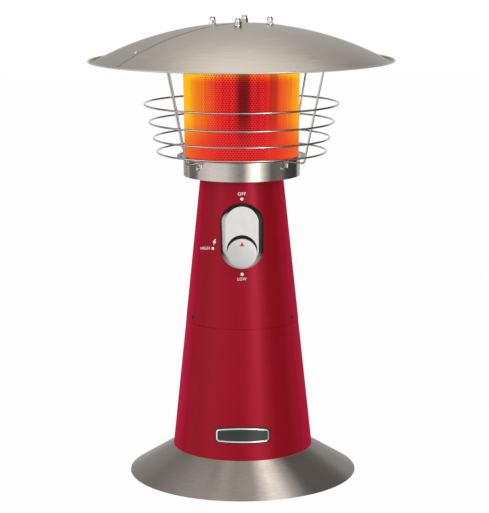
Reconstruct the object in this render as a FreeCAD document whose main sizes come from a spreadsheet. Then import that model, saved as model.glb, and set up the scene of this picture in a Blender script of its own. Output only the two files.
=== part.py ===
import FreeCAD, Part
import math
import os
from types import SimpleNamespace

import Sketcher
from FreeCAD import Placement, Rotation, Vector

# Portable propane heater, built as the real one comes apart on a bench.
# Millimetres, +Z up, the front faces -Y, and the origin is on the ground at the centre of the foot.
# An azimuth is an angle round the upright axis, from the front towards +X, in degrees.

os.makedirs("parts", exist_ok=True)

SIZES = {
    # Foot
    "base_radius": 147.5,
    "base_rim_gap": 0.8,
    "base_top_radius": 90.9,
    "base_top_height": 35.5,
    "base_sheet": 1.2,
    "base_hole_radius": 76.0,
    "foot_pad_radius": 9.0,
    "foot_pad_height": 3.0,
    "foot_pad_circle": 118.0,
    "foot_pad_count": 6,
    "foot_pad_plug_radius": 3.0,
    "plate_sheet": 3.0,
    "plate_edge_gap": 0.3,
    "drum_radius": 84.0,
    "drum_flange_width": 14.0,
    "cylinder_radius": 49.2,
    "cylinder_clearance": 1.8,
    "cylinder_ring_height": 13.0,
    "cylinder_ring_flange_radius": 66.0,
    "seat_height": 14.5,
    "seat_clearance": 0.3,
    "seat_side_clearance": 0.45,
    "base_screw_radius": 2.0,
    "base_screw_head_radius": 4.0,
    "base_screw_head_height": 1.8,
    "base_screw_length": 6.0,
    "drum_screw_circle": 90.5,
    "ring_screw_circle": 59.5,
    "base_screw_count": 4,
    "rivet_radius": 1.5,
    "rivet_head_radius": 2.6,
    "rivet_head_height": 1.1,
    "seat_rivet_circle": 79.5,
    "seat_rivet_count": 4,
    "hole_clearance": 0.1,
    "drill_length": 30.0,
    "housing_drill_start": 55.0,
    "collar_drill_start": 62.0,
    "cut_overlap": 1.0,
    # Housing
    "housing_foot_radius": 90.6,
    "housing_top_radius": 53.0,
    "housing_top_height": 391.2,
    "housing_sheet": 1.0,
    "seam_height": 203.0,
    "seam_step": 0.25,
    "seam_gap": 0.4,
    "neck_height": 16.0,
    "neck_gap": 0.1,
    "housing_flange_hole": 41.0,
    "housing_screw_rise": 7.7,
    "housing_screw_azimuth": 61.5,
    "housing_screw_radius": 1.9,
    "housing_screw_head_radius": 2.5,
    "housing_screw_head_height": 1.3,
    "housing_screw_length": 8.0,
    # Nameplate
    "nameplate_width": 70.0,
    "nameplate_height": 21.0,
    "nameplate_middle": 68.9,
    "nameplate_corner": 4.0,
    "nameplate_rim_width": 2.0,
    "nameplate_rim_depth": 2.2,
    "nameplate_insert_depth": 1.3,
    "nameplate_gap": 0.1,
    "nameplate_reach": 10.0,
    # Regulator
    "inlet_bore_radius": 12.05,
    "inlet_bore_depth": 12.0,
    "inlet_drop": 14.0,
    "inlet_wall": 4.95,
    "boss_wall": 2.0,
    "bracket_sheet": 1.5,
    "bracket_depth": 13.0,
    "bracket_rise": 14.0,
    "bracket_rim_gap": 0.15,
    "bracket_vent_radius": 7.0,
    "bracket_vent_circle": 56.0,
    "bracket_vent_count": 8,
    "regulator_radius": 28.0,
    "regulator_height": 12.0,
    "diaphragm_radius": 33.5,
    "diaphragm_sheet": 1.0,
    "regulator_rim_height": 3.0,
    "regulator_cap_height": 13.0,
    "regulator_cap_wall": 1.5,
    "regulator_spring_radius": 8.0,
    "regulator_spring_wire": 1.4,
    "regulator_spring_turns": 3,
    "gas_pipe_radius": 3.0,
    "gas_pipe_bend": 7.0,
    "gas_pipe_out": 44.0,
    "gas_pipe_straight_share": 0.5,
    "gas_pipe_slant_share": 0.78,
    "port_radius": 5.0,
    "port_length": 5.0,
    "outlet_rise": 6.0,
    # Valve
    "knob_drop": 87.2,
    "valve_back": 12.0,
    "valve_front": 44.0,
    "valve_width": 24.0,
    "valve_height": 26.0,
    "valve_port_out": 30.0,
    "bushing_radius": 8.0,
    "bushing_front": 57.0,
    "valve_nut_height": 4.5,
    "valve_nut_corner": 11.5,
    "valve_nut_bore": 8.05,
    "valve_plate_sheet": 1.5,
    "valve_plate_half_width": 37.0,
    "valve_plate_drop": 26.0,
    "valve_plate_rise": 32.0,
    "plug_radius": 6.0,
    "plug_clearance": 0.05,
    "plug_end_gap": 0.3,
    "plug_back": 16.0,
    "stem_radius": 3.0,
    "stem_flat": 2.2,
    "stem_clearance": 0.05,
    "stem_bushing_clearance": 0.3,
    "stem_back": 27.0,
    "stem_front": 84.0,
    "socket_back": 22.5,
    "bracket_post_radius": 3.5,
    "bracket_post_across": 17.0,
    "bracket_post_rise": 21.0,
    "bracket_screw_radius": 1.6,
    "bracket_screw_head_radius": 2.8,
    "bracket_screw_head_height": 1.6,
    "bracket_screw_length": 9.0,
    "jet_bend": 7.0,
    "jet_rise": 14.0,
    "jet_pipe_rise": 20.0,
    "jet_radius": 5.5,
    "jet_collar_rise": 26.0,
    "jet_collar_height": 3.0,
    "jet_tip_radius": 3.0,
    "jet_tip_height": 5.0,
    "jet_hole_radius": 0.5,
    # Knob
    "knob_radius": 19.0,
    "knob_back": 66.0,
    "knob_front": 92.0,
    "knob_crown": 0.9,
    "knob_edge": 1.2,
    "knob_wall": 1.6,
    "knob_face_wall": 2.6,
    "knob_hub_radius": 6.5,
    "pointer_width": 5.6,
    "pointer_height": 5.0,
    "pointer_low": 9.4,
    "pointer_depth": 1.1,
    "pointer_gap": 0.05,
    "return_spring_radius": 4.8,
    "return_spring_wire": 0.8,
    "return_spring_turns": 3,
    # Bezel
    "bezel_face_radius": 20.7,
    "bezel_face_out": 8.7,
    "bezel_face_span": 34.0,
    "bezel_draft": 23.5,
    "bezel_wall": 1.5,
    "bezel_depth": 17.5,
    "bezel_gap": 0.1,
    "bezel_hole_radius": 19.5,
    "bezel_edge": 0.7,
    "knob_window_radius": 21.0,
    "bezel_post_radius": 2.2,
    "bezel_post_across": 10.0,
    "bezel_post_rise": 41.0,
    "bezel_post_back": 50.0,
    # Collar
    "collar_height": 23.8,
    "collar_radius": 74.9,
    "collar_sheet": 1.0,
    "collar_vent_radius": 5.0,
    "collar_vent_circle": 64.0,
    "collar_vent_count": 12,
    "collar_flange_radius": 83.0,
    "collar_flange_sheet": 0.9,
    "collar_skirt_gap": 0.1,
    "collar_skirt_rise": 7.8,
    "collar_ledge_radius": 66.0,
    "collar_screw_rise": 14.0,
    "collar_screw_azimuth": -47.1,
    "collar_screw_count": 4,
    "collar_screw_radius": 1.5,
    "collar_screw_head_radius": 2.9,
    "collar_screw_head_height": 1.6,
    "collar_screw_length": 3.0,
    "pan_rivet_circle": 46.5,
    "pan_rivet_count": 4,
    # Burner
    "venturi_radius": 9.2,
    "venturi_wall": 1.2,
    "venturi_mouth_radius": 12.0,
    "venturi_mouth_rise": 42.0,
    "venturi_cone_rise": 50.0,
    "venturi_air_radius": 3.5,
    "venturi_air_rise": 36.0,
    "burner_neck_gap": 0.15,
    "burner_wall": 1.2,
    "burner_neck_drop": 7.0,
    "burner_flange_radius": 24.0,
    "burner_radius": 31.0,
    "burner_floor_rise": 8.8,
    "burner_rise": 19.8,
    "burner_screen_sheet": 0.8,
    "burner_screen_skirt": 5.0,
    "burner_screen_gap": 0.1,
    # Emitter
    "emitter_foot_radius": 71.8,
    "emitter_foot_rise": 24.8,
    "emitter_low_radius": 73.0,
    "emitter_low_rise": 32.8,
    "emitter_top_radius": 74.7,
    "emitter_rise": 156.8,
    "emitter_sheet": 0.8,
    "emitter_cap_sheet": 1.0,
    "emitter_cap_skirt": 5.0,
    "emitter_cap_gap": 0.15,
    # Guard
    "leg_wire": 2.5,
    "ring_wire": 2.4,
    "leg_azimuth": 48.7,
    "leg_count": 4,
    "leg_middle_radius": 120.6,
    "leg_middle_rise": 88.8,
    "leg_lean": 0.262,
    "leg_tail_length": 7.5,
    "leg_tail_bend": 3.0,
    "leg_foot_bend": 5.0,
    "leg_rise": 161.8,
    "weld_gap": 0.05,
    "ring_1_rise": 30.2,
    "ring_2_rise": 47.7,
    "ring_3_rise": 68.1,
    "ring_4_rise": 91.1,
    "top_ring_rise": 159.3,
    # Reflector
    "dome_radius": 392.5,
    "dome_leg_gap": 4.2,
    "dome_sheet": 1.0,
    "dome_edge_radius": 186.5,
    "gutter_step": 2.5,
    "gutter_drop": 0.2,
    "lip_step": 6.5,
    "lip_rise": 1.44,
    "seam_azimuth": -54.5,
    "tab_angle": 4.5,
    "tab_inner_radius": 14.0,
    "tab_edge_gap": 2.0,
    "seam_rivet_circle": 154.0,
    "seam_rivet_offset": 3.0,
    "seam_rivet_head_radius": 3.2,
    "seam_rivet_drill_reach": 5.0,
    "stud_radius": 2.5,
    "stud_circle": 36.5,
    "stud_azimuth": -6.5,
    "stud_count": 4,
    "stud_head_radius": 4.2,
    "stud_head_height": 3.0,
    "stud_thread": 4.8,
    "stud_clearance": 0.15,
    "spacer_radius": 4.5,
    "spacer_end_gap": 0.05,
    "washer_radius": 5.0,
    "washer_sheet": 1.0,
    "nut_across_flats": 8.0,
    "nut_hex_height": 4.0,
    "nut_height": 9.2,
    "nut_dome_radius": 3.75,
    "nut_bore_depth": 6.2,
    # Ignition and safety
    "electrode_azimuth": 70.0,
    "probe_circle": 36.8,
    "insulator_radius": 2.6,
    "insulator_drop": 5.2,
    "insulator_rise": 32.8,
    "insulator_shoulder_radius": 3.8,
    "insulator_shoulder_height": 3.0,
    "electrode_wire_radius": 0.9,
    "electrode_rise": 41.8,
    "electrode_reach": 11.0,
    "electrode_bend": 3.0,
    "probe_hole_clearance": 0.2,
    "thermocouple_radius": 1.9,
    "thermocouple_rise": 38.8,
    "lead_radius": 1.2,
    "lead_bend": 6.0,
    "lead_straight_share": 0.4,
    "lead_slant_share": 0.78,
    "thermocouple_slant_share": 0.7,
    "igniter_radius": 6.5,
    "igniter_back": 12.0,
    "igniter_across": 26.0,
    "igniter_drop": 9.0,
    "tilt_across": -48.0,
    "tilt_half_width": 8.0,
    "tilt_half_depth": 9.0,
    "tilt_wall": 1.5,
    "tilt_pivot_rise": 21.5,
    "tilt_cheek_rise": 25.0,
    "tilt_pin_radius": 1.0,
    "tilt_pin_clearance": 0.06,
    "tilt_hub_radius": 2.4,
    "tilt_hub_half_width": 1.5,
    "tilt_rod_radius": 0.9,
    "tilt_bob_radius": 3.2,
    "tilt_bob_half_width": 3.0,
    "tilt_arm": 12.0,
}

doc = FreeCAD.newDocument("PropaneHeater")
sheet = doc.addObject("Spreadsheet::Sheet", "Sizes")
for row, (alias, number) in enumerate(SIZES.items(), start=1):
    sheet.set(f"A{row}", alias)
    sheet.set(f"B{row}", str(number))
    sheet.setAlias(f"B{row}", alias)
doc.recompute()


# Sizes that carry both a number and the expression that binds it

class Size:
    """A number with the spreadsheet expression that gives it, kept in step by arithmetic."""

    def __init__(self, number, text):
        self.number = number
        self.text = text

    def __add__(self, other):
        other = as_size(other)
        return Size(self.number + other.number, f"({self.text} + {other.text})")

    def __sub__(self, other):
        other = as_size(other)
        return Size(self.number - other.number, f"({self.text} - {other.text})")

    def __mul__(self, other):
        other = as_size(other)
        return Size(self.number * other.number, f"({self.text} * {other.text})")

    def __truediv__(self, other):
        other = as_size(other)
        return Size(self.number / other.number, f"({self.text} / {other.text})")

    def __neg__(self):
        return Size(-self.number, f"(0 - {self.text})")

    __radd__ = __add__
    __rmul__ = __mul__

    def __rsub__(self, other):
        return as_size(other) - self

    def __rtruediv__(self, other):
        return as_size(other) / self


def as_size(item):
    """A Size as it is, or a plain number as a Size."""
    if isinstance(item, Size):
        return item
    return Size(float(item), f"({float(item)})")


def root(size):
    """Square root of a size."""
    return Size(math.sqrt(size.number), f"sqrt({size.text})")


def sine(angle):
    """Sine of an angle in degrees."""
    return Size(math.sin(math.radians(angle.number)), f"sin({angle.text})")


def cosine(angle):
    """Cosine of an angle in degrees."""
    return Size(math.cos(math.radians(angle.number)), f"cos({angle.text})")


def tangent(angle):
    """Tangent of an angle in degrees."""
    return Size(math.tan(math.radians(angle.number)), f"tan({angle.text})")


def arc_tangent(ratio):
    """Angle in degrees whose tangent is the ratio."""
    return Size(math.degrees(math.atan(ratio.number)), f"(atan({ratio.text}) / 1deg)")


s = SimpleNamespace(**{alias: Size(float(number), f"Sizes.{alias}") for alias, number in SIZES.items()})
nodes = {}
HALF_TURN = 180.0
FULL_TURN = 360.0
QUARTER_TURN = 90.0
EDGE_TOLERANCE = 0.01


# Heights that follow from the seam, from the top of the housing and from the knob

s.bracket_top = s.seam_height + s.bracket_rise
s.bracket_rim_bottom = s.bracket_top - s.bracket_depth
s.inlet_bottom = s.bracket_top - s.inlet_drop
s.outlet_height = s.bracket_top + s.outlet_rise
s.housing_screw_height = s.seam_height + s.housing_screw_rise
s.tilt_pivot_height = s.bracket_top + s.tilt_pivot_rise
s.tilt_cheek_top = s.bracket_top + s.tilt_cheek_rise

s.knob_height = s.housing_top_height - s.knob_drop
s.valve_plate_bottom = s.knob_height - s.valve_plate_drop
s.valve_plate_top = s.knob_height + s.valve_plate_rise
s.bracket_post_height = s.knob_height + s.bracket_post_rise
s.bezel_post_height = s.knob_height + s.bezel_post_rise
s.jet_bottom = s.knob_height + s.jet_rise
s.jet_pipe_top = s.knob_height + s.jet_pipe_rise
s.jet_collar_bottom = s.knob_height + s.jet_collar_rise
s.venturi_air_height = s.knob_height + s.venturi_air_rise
s.venturi_mouth_top = s.knob_height + s.venturi_mouth_rise
s.venturi_cone_top = s.knob_height + s.venturi_cone_rise
s.igniter_height = s.knob_height - s.igniter_drop

s.collar_top = s.housing_top_height + s.collar_height
s.collar_skirt_bottom = s.housing_top_height + s.collar_skirt_rise
s.collar_screw_height = s.housing_top_height + s.collar_screw_rise
s.burner_floor_height = s.housing_top_height + s.burner_floor_rise
s.burner_top = s.housing_top_height + s.burner_rise
s.insulator_bottom = s.housing_top_height - s.insulator_drop
s.insulator_top = s.housing_top_height + s.insulator_rise
s.electrode_tip = s.housing_top_height + s.electrode_rise
s.thermocouple_top = s.housing_top_height + s.thermocouple_rise
s.emitter_foot_top = s.housing_top_height + s.emitter_foot_rise
s.emitter_low_height = s.housing_top_height + s.emitter_low_rise
s.emitter_top = s.housing_top_height + s.emitter_rise
s.leg_foot_height = s.collar_top - s.leg_wire / 2 - s.weld_gap
s.leg_middle_height = s.housing_top_height + s.leg_middle_rise
s.leg_top = s.housing_top_height + s.leg_rise
s.ring_1_height = s.housing_top_height + s.ring_1_rise
s.ring_2_height = s.housing_top_height + s.ring_2_rise
s.ring_3_height = s.housing_top_height + s.ring_3_rise
s.ring_4_height = s.housing_top_height + s.ring_4_rise
s.top_ring_height = s.housing_top_height + s.top_ring_rise


def node(name, item):
    """Give an object the name of the sub-part that it is, and list it for export."""
    item.Label = name
    nodes[name] = item
    return item


def bind(item, prop, size):
    """Bind a property to the expression of a size."""
    item.setExpression(prop, as_size(size).text)


def place(item, x=0, y=0, z=0, turn=None, axis=None):
    """Place an object, turned by an angle about an axis, all bound to sizes."""
    if axis is not None:
        start_angle = as_size(turn).number
        item.Placement = Placement(Vector(0, 0, 0), Rotation(axis, start_angle))
        if isinstance(turn, Size):
            bind(item, "Placement.Rotation.Angle", turn)
    for letter, size in (("x", x), ("y", y), ("z", z)):
        if isinstance(size, Size):
            bind(item, f"Placement.Base.{letter}", size)
    return item


# Sketches

def new_body(name):
    """An empty body."""
    return doc.addObject("PartDesign::Body", name)


def origin_part(body, role):
    """One plane or axis of a body's own origin."""
    return next(item for item in body.Origin.OriginFeatures if item.Role == role)


def new_sketch(body, role, out=None):
    """A sketch on one of the body's origin planes, moved along the plane's normal by out."""
    sketch = body.newObject("Sketcher::SketchObject", body.Name + "Sketch")
    sketch.AttachmentSupport = (origin_part(body, role), "")
    sketch.MapMode = "FlatFace"
    if out is not None:
        bind(sketch, "AttachmentOffset.Base.z", out)
    return sketch


class Arc:
    """An arc between two corners, round a centre, counter-clockwise or not."""

    def __init__(self, centre_x, centre_y, counter_clockwise=True):
        self.centre = (as_size(centre_x), as_size(centre_y))
        self.counter_clockwise = counter_clockwise


class Free:
    """A coordinate that an arc's radius settles, so the sketch doesn't fix it again."""

    def __init__(self, size):
        self.size = size


def fix_point(sketch, edge, point, corner):
    """Tie one point of an edge to its two sizes."""
    for index, (kind, axis_edge) in enumerate((("DistanceX", -2), ("DistanceY", -1))):
        coordinate = corner[index]
        if isinstance(coordinate, Free):
            continue
        size = as_size(coordinate)
        if isinstance(coordinate, Size):
            label = f"c{sketch.ConstraintCount}"
            row = sketch.addConstraint(Sketcher.Constraint(kind, -1, 1, edge, point, size.number))
            sketch.renameConstraint(row, label)
            bind(sketch, f"Constraints.{label}", size)
        elif size.number == 0:
            sketch.addConstraint(Sketcher.Constraint("PointOnObject", edge, point, axis_edge))
        else:
            sketch.addConstraint(Sketcher.Constraint(kind, -1, 1, edge, point, size.number))


def number_of(coordinate):
    """The number of a coordinate, free or not."""
    if isinstance(coordinate, Free):
        return as_size(coordinate.size).number
    return as_size(coordinate).number


def draw(sketch, outline, closed=True):
    """Draw an outline of corners, with an Arc between two corners where they join by an arc."""
    corners = [item for item in outline if not isinstance(item, Arc)]
    arcs = {}
    for index, item in enumerate(outline):
        if isinstance(item, Arc):
            arcs[sum(not isinstance(other, Arc) for other in outline[:index]) - 1] = item
    last = len(corners) if closed else len(corners) - 1
    edges = []
    for index in range(last):
        start = Vector(*[number_of(value) for value in corners[index]], 0)
        end = Vector(*[number_of(value) for value in corners[(index + 1) % len(corners)]], 0)
        arc = arcs.get(index)
        if arc is None:
            edge = sketch.addGeometry(Part.LineSegment(start, end), False)
            edges.append((edge, 1, 2))
            continue
        centre = Vector(arc.centre[0].number, arc.centre[1].number, 0)
        circle = Part.Circle(centre, Vector(0, 0, 1), start.distanceToPoint(centre))
        first = math.atan2(start.y - centre.y, start.x - centre.x)
        second = math.atan2(end.y - centre.y, end.x - centre.x)
        if arc.counter_clockwise:
            edge = sketch.addGeometry(Part.ArcOfCircle(circle, first, second), False)
            edges.append((edge, 1, 2))
        else:
            edge = sketch.addGeometry(Part.ArcOfCircle(circle, second, first), False)
            edges.append((edge, 2, 1))
    for index in range(last if closed else last - 1):
        this_edge = edges[index]
        next_edge = edges[(index + 1) % len(edges)]
        joint = Sketcher.Constraint("Coincident", this_edge[0], this_edge[2], next_edge[0], next_edge[1])
        sketch.addConstraint(joint)
    for index, (edge, begin, finish) in enumerate(edges):
        if index in arcs:
            fix_point(sketch, edge, 3, [arcs[index].centre[0], arcs[index].centre[1]])
        fix_point(sketch, edge, begin, corners[index])
    if not closed:
        fix_point(sketch, edges[-1][0], edges[-1][2], corners[-1])
    return edges


def draw_circle(sketch, radius, x=0, y=0):
    """Draw a circle of a bound radius and centre."""
    circle = Part.Circle(Vector(number_of(x), number_of(y), 0), Vector(0, 0, 1), radius.number)
    edge = sketch.addGeometry(circle, False)
    row = sketch.addConstraint(Sketcher.Constraint("Radius", edge, radius.number))
    sketch.renameConstraint(row, f"radius{row}")
    bind(sketch, f"Constraints.radius{row}", radius)
    fix_point(sketch, edge, 3, (x, y))


def draw_d_shape(sketch, radius, flat):
    """Draw a circle cut by a flat, as on a knob's stem; the flat faces up."""
    half = root(radius * radius - flat * flat)
    draw(sketch, [(Free(half), flat), (-half, flat), Arc(0, 0)])


def draw_rounded_box(sketch, half_width, low, high, corner):
    """Draw a rectangle with rounded corners, centred sideways."""
    inner = half_width - corner
    draw(sketch, [
        (-inner, Free(low)), (inner, low),
        Arc(inner, low + corner), (Free(half_width), low + corner),
        (half_width, high - corner),
        Arc(inner, high - corner), (inner, Free(high)),
        (-inner, high),
        Arc(-inner, high - corner), (Free(-half_width), high - corner),
        (-half_width, low + corner),
        Arc(-inner, low + corner),
    ])


# Features of a body

def turned(name, outline, facing="up", sweep=360, midplane=False, body=None):
    """A turned piece: an outline of (radius, distance along the axis) points, revolved.

    Facing up, the axis is Z. Facing the front, it is -Y, and distances are measured outwards.
    """
    body = body or new_body(name)
    if facing == "up":
        sketch = new_sketch(body, "XZ_Plane")
        draw(sketch, outline)
        axis = "V_Axis"
    else:
        sketch = new_sketch(body, "YZ_Plane")
        draw(sketch, [mirrored(item) for item in outline])
        axis = "H_Axis"
    feature = body.newObject("PartDesign::Revolution", name + "Turn")
    feature.Profile = (sketch, [""])
    feature.ReferenceAxis = (sketch, [axis])
    if isinstance(sweep, Size):
        bind(feature, "Angle", sweep)
    else:
        feature.Angle = sweep
    feature.Midplane = midplane
    body.Tip = feature
    return body


def mirrored(item):
    """A (radius, outward distance) point or arc as drawn on the side plane, where -Y is outwards."""
    if isinstance(item, Arc):
        return Arc(-item.centre[1], item.centre[0], item.counter_clockwise)
    radius, out = item
    if isinstance(out, Free):
        return (Free(-as_size(out.size)), radius)
    return (-as_size(out) if isinstance(out, Size) else -out, radius)


def pad(body, sketch, length, draft=None, reverse=False):
    """Pad a sketch along its normal."""
    feature = body.newObject("PartDesign::Pad", body.Name + "Pad")
    feature.Profile = (sketch, [""])
    bind(feature, "Length", length)
    if draft is not None:
        bind(feature, "TaperAngle", draft)
    feature.Reversed = reverse
    body.Tip = feature
    return feature


def pocket(body, sketch, length, reverse=False):
    """Cut a sketch into a body; a pocket cuts against the sketch's normal unless reversed."""
    feature = body.newObject("PartDesign::Pocket", body.Name + "Pocket")
    feature.Profile = (sketch, [""])
    bind(feature, "Length", length)
    feature.Reversed = reverse
    body.Tip = feature
    return feature


def repeat(body, features, count, role="Z_Axis"):
    """Repeat features evenly round an axis of the body."""
    pattern = body.newObject("PartDesign::PolarPattern", body.Name + "Ring")
    pattern.Originals = features
    pattern.Axis = (origin_part(body, role), [""])
    pattern.Angle = 360
    bind(pattern, "Occurrences", count)
    body.Tip = pattern
    return pattern


def upright_holes(body, radius, circle, count, below, above):
    """A ring of upright holes through a turned piece."""
    sketch = new_sketch(body, "XY_Plane", below)
    draw_circle(sketch, radius, circle, 0)
    feature = pocket(body, sketch, above - below, reverse=True)
    repeat(body, [feature], count)


# Primitives

def bar(name, radius, length, x=0, y=0, z=0, facing="up"):
    """A round bar: up along +Z, to the front along -Y, or to the right along +X."""
    item = doc.addObject("Part::Cylinder", name)
    bind(item, "Radius", radius)
    bind(item, "Height", length)
    turns = {"up": (0, Vector(0, 0, 1)), "front": (90, Vector(1, 0, 0)), "right": (90, Vector(0, 1, 0))}
    turn, axis = turns[facing]
    return place(item, x, y, z, turn, axis)


def block(name, low, high):
    """A box between two corners given as sizes."""
    item = doc.addObject("Part::Box", name)
    for prop, a, b in zip(("Length", "Width", "Height"), low, high):
        bind(item, prop, as_size(b) - as_size(a))
    for letter, a in zip("xyz", low):
        bind(item, f"Placement.Base.{letter}", a)
    return item


def frustum(name, low_radius, high_radius, low, high):
    """An upright solid cone frustum."""
    item = doc.addObject("Part::Cone", name)
    bind(item, "Radius1", low_radius)
    bind(item, "Radius2", high_radius)
    bind(item, "Height", as_size(high) - as_size(low))
    return place(item, z=as_size(low))


def fuse(name, *items):
    """Join pieces into one solid."""
    item = doc.addObject("Part::MultiFuse", name)
    item.Shapes = list(items)
    item.Refine = True
    return item


def cut(name, base, *tools):
    """Take tools away from a piece."""
    item = doc.addObject("Part::Cut", name)
    item.Base = base
    item.Tool = tools[0] if len(tools) == 1 else fuse(name + "Tools", *tools)
    return item


def common(name, first, second):
    """Keep what two pieces share."""
    item = doc.addObject("Part::Common", name)
    item.Base = first
    item.Tool = second
    return item


def copies(name, item, angles):
    """Copies of a piece turned round the upright axis, as separate solids of one group."""
    links = []
    for index, angle in enumerate(angles):
        link = doc.addObject("App::Link", f"{name}Copy{index}")
        link.LinkedObject = item
        link.LinkTransform = True
        place(link, turn=angle, axis=Vector(0, 0, 1))
        links.append(link)
    group = doc.addObject("Part::Compound", name)
    group.Links = links
    return group


def even_angles(first, count):
    """Azimuths spaced evenly round a circle, from the first."""
    whole = int(count.number)
    return [first + as_size(FULL_TURN) * index / count for index in range(whole)]


# Wires, pipes and springs

def tube_along(name, radius, points, bend):
    """A round tube along straight runs joined by tangent arcs, as a closed solid."""
    vectors = [Vector(*[as_size(value).number for value in point]) for point in points]
    edges = []
    start = vectors[0]
    for before, corner, after in zip(vectors, vectors[1:], vectors[2:]):
        incoming = (before - corner).normalize()
        outgoing = (after - corner).normalize()
        half_angle = incoming.getAngle(outgoing) / 2
        reach = bend.number / math.tan(half_angle)
        first = corner + incoming * reach
        last = corner + outgoing * reach
        bisector = (incoming + outgoing).normalize()
        middle = corner + bisector * (bend.number / math.sin(half_angle) - bend.number)
        edges.append(Part.LineSegment(start, first).toShape())
        edges.append(Part.Arc(first, middle, last).toShape())
        start = last
    edges.append(Part.LineSegment(start, vectors[-1]).toShape())
    path = Part.Wire(edges)
    profile = Part.Wire(Part.Circle(vectors[0], vectors[1] - vectors[0], radius.number).toShape())
    shape = path.makePipeShell([profile], True, False)
    item = doc.addObject("Part::Feature", name)
    item.Shape = shape
    expected = math.pi * radius.number ** 2 * path.Length
    print(f"{name}: path {path.Length:.1f} mm, volume {shape.Volume / expected:.4f} of section times length")
    return item


def coil(name, radius, wire_radius, low, high, turns):
    """A spring of half turns about Z, each half in a plane of its own, tangent where they meet."""
    halves = int(turns.number) * 2
    climb = (high.number - low.number - 2 * wire_radius.number) / halves
    level = low.number + wire_radius.number
    side = 1
    edges = []
    for half in range(halves):
        start = Vector(side * radius.number, 0, level)
        end = Vector(-side * radius.number, 0, level + climb)
        reach = start.distanceToPoint(end) / 2
        middle = (start + end) / 2 + Vector(0, side * reach, 0)
        edges.append(Part.Arc(start, middle, end).toShape())
        level = level + climb
        side = -side
    path = Part.Wire(edges)
    profile = Part.Wire(Part.Circle(Vector(radius.number, 0, low.number + wire_radius.number),
                                    Vector(0, 1, 0), wire_radius.number).toShape())
    item = doc.addObject("Part::Feature", name)
    item.Shape = path.makePipeShell([profile], True, False)
    print(f"{name}: gap between turns {2 * climb - 2 * wire_radius.number:.2f} mm")
    return item


# Shapes that several pieces share

housing_foot = s.base_top_height + s.seat_clearance
housing_slope = (s.housing_foot_radius - s.housing_top_radius) / (s.housing_top_height - housing_foot)
housing_angle = arc_tangent(housing_slope)
wall_across = s.housing_sheet / cosine(housing_angle)


def housing_radius(height, inset=0):
    """Outer radius of the housing's cone at a height, less an inset."""
    return s.housing_foot_radius - (as_size(height) - housing_foot) * housing_slope - inset


base_slope = (s.base_radius - s.base_top_radius) / (s.base_top_height - s.base_rim_gap)
base_angle = arc_tangent(1 / base_slope)
base_wall_across = s.base_sheet / sine(base_angle)
plate_top = s.foot_pad_height + s.plate_sheet
shelf_top = s.base_top_height - s.base_sheet
screw_hole = s.base_screw_radius + s.hole_clearance
rivet_hole = s.rivet_radius + s.hole_clearance


def leg_radius(height):
    """Distance of a guard leg's centre line from the axis at a height."""
    return s.leg_middle_radius + (as_size(height) - s.leg_middle_height) * s.leg_lean


leg_reach = leg_radius(s.leg_top)
dome_inner_ball = s.dome_radius - s.dome_sheet
dome_drop = root(dome_inner_ball * dome_inner_ball - leg_reach * leg_reach)
dome_centre = s.leg_top + s.dome_leg_gap - dome_drop


def dome_height(radius, inset=0):
    """Height of the reflector's outer face, or of one inset from it, at a radius."""
    ball = s.dome_radius - inset
    return dome_centre + root(ball * ball - radius * radius)


gutter_radius = s.dome_edge_radius + s.gutter_step
lip_radius = gutter_radius + s.lip_step
lip_height = dome_height(s.dome_edge_radius) + s.lip_rise
washer_low = dome_height(s.stud_circle - s.washer_radius) + s.spacer_end_gap
washer_top = washer_low + s.washer_sheet
stud_top = washer_top + s.stud_thread


# Foot

def make_base_shell():
    """The spun cone, with a flat top that turns inwards."""
    rim = s.base_radius - base_wall_across
    under = s.base_top_radius + s.base_sheet * base_slope - base_wall_across
    body = turned("BaseShell", [
        (s.base_radius, s.base_rim_gap),
        (s.base_top_radius, s.base_top_height),
        (s.base_hole_radius, s.base_top_height),
        (s.base_hole_radius, shelf_top),
        (under, shelf_top),
        (rim, s.base_rim_gap),
    ])
    upright_holes(body, rivet_hole, s.seat_rivet_circle, s.seat_rivet_count, shelf_top, s.base_top_height)
    return node("base_shell", body)


def make_base_plate():
    """The flat steel bottom, drilled for its pads and screws."""
    edge = s.base_radius - (plate_top - s.base_rim_gap) * base_slope - base_wall_across - s.plate_edge_gap
    body = turned("BasePlate", [
        (0, s.foot_pad_height), (edge, s.foot_pad_height), (edge, plate_top), (0, plate_top),
    ])
    pad_hole = s.foot_pad_plug_radius + s.hole_clearance
    upright_holes(body, pad_hole, s.foot_pad_circle, s.foot_pad_count, s.foot_pad_height, plate_top)
    for circle in (s.drum_screw_circle, s.ring_screw_circle):
        upright_holes(body, screw_hole, circle, s.base_screw_count, s.foot_pad_height, plate_top)
    return node("base_plate", body)


def make_support_drum():
    """The ring that carries the shell's flat top on the plate."""
    inner = s.drum_radius - s.base_sheet
    foot = s.drum_radius + s.drum_flange_width
    low = plate_top + s.base_sheet
    high = shelf_top - s.base_sheet
    body = turned("SupportDrum", [
        (inner, plate_top), (foot, plate_top), (foot, low), (s.drum_radius, low),
        (s.drum_radius, shelf_top), (s.base_hole_radius, shelf_top), (s.base_hole_radius, high),
        (inner, high),
    ])
    upright_holes(body, rivet_hole, s.seat_rivet_circle, s.seat_rivet_count, high, shelf_top)
    upright_holes(body, screw_hole, s.drum_screw_circle, s.base_screw_count, plate_top, low)
    return node("support_drum", body)


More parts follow.
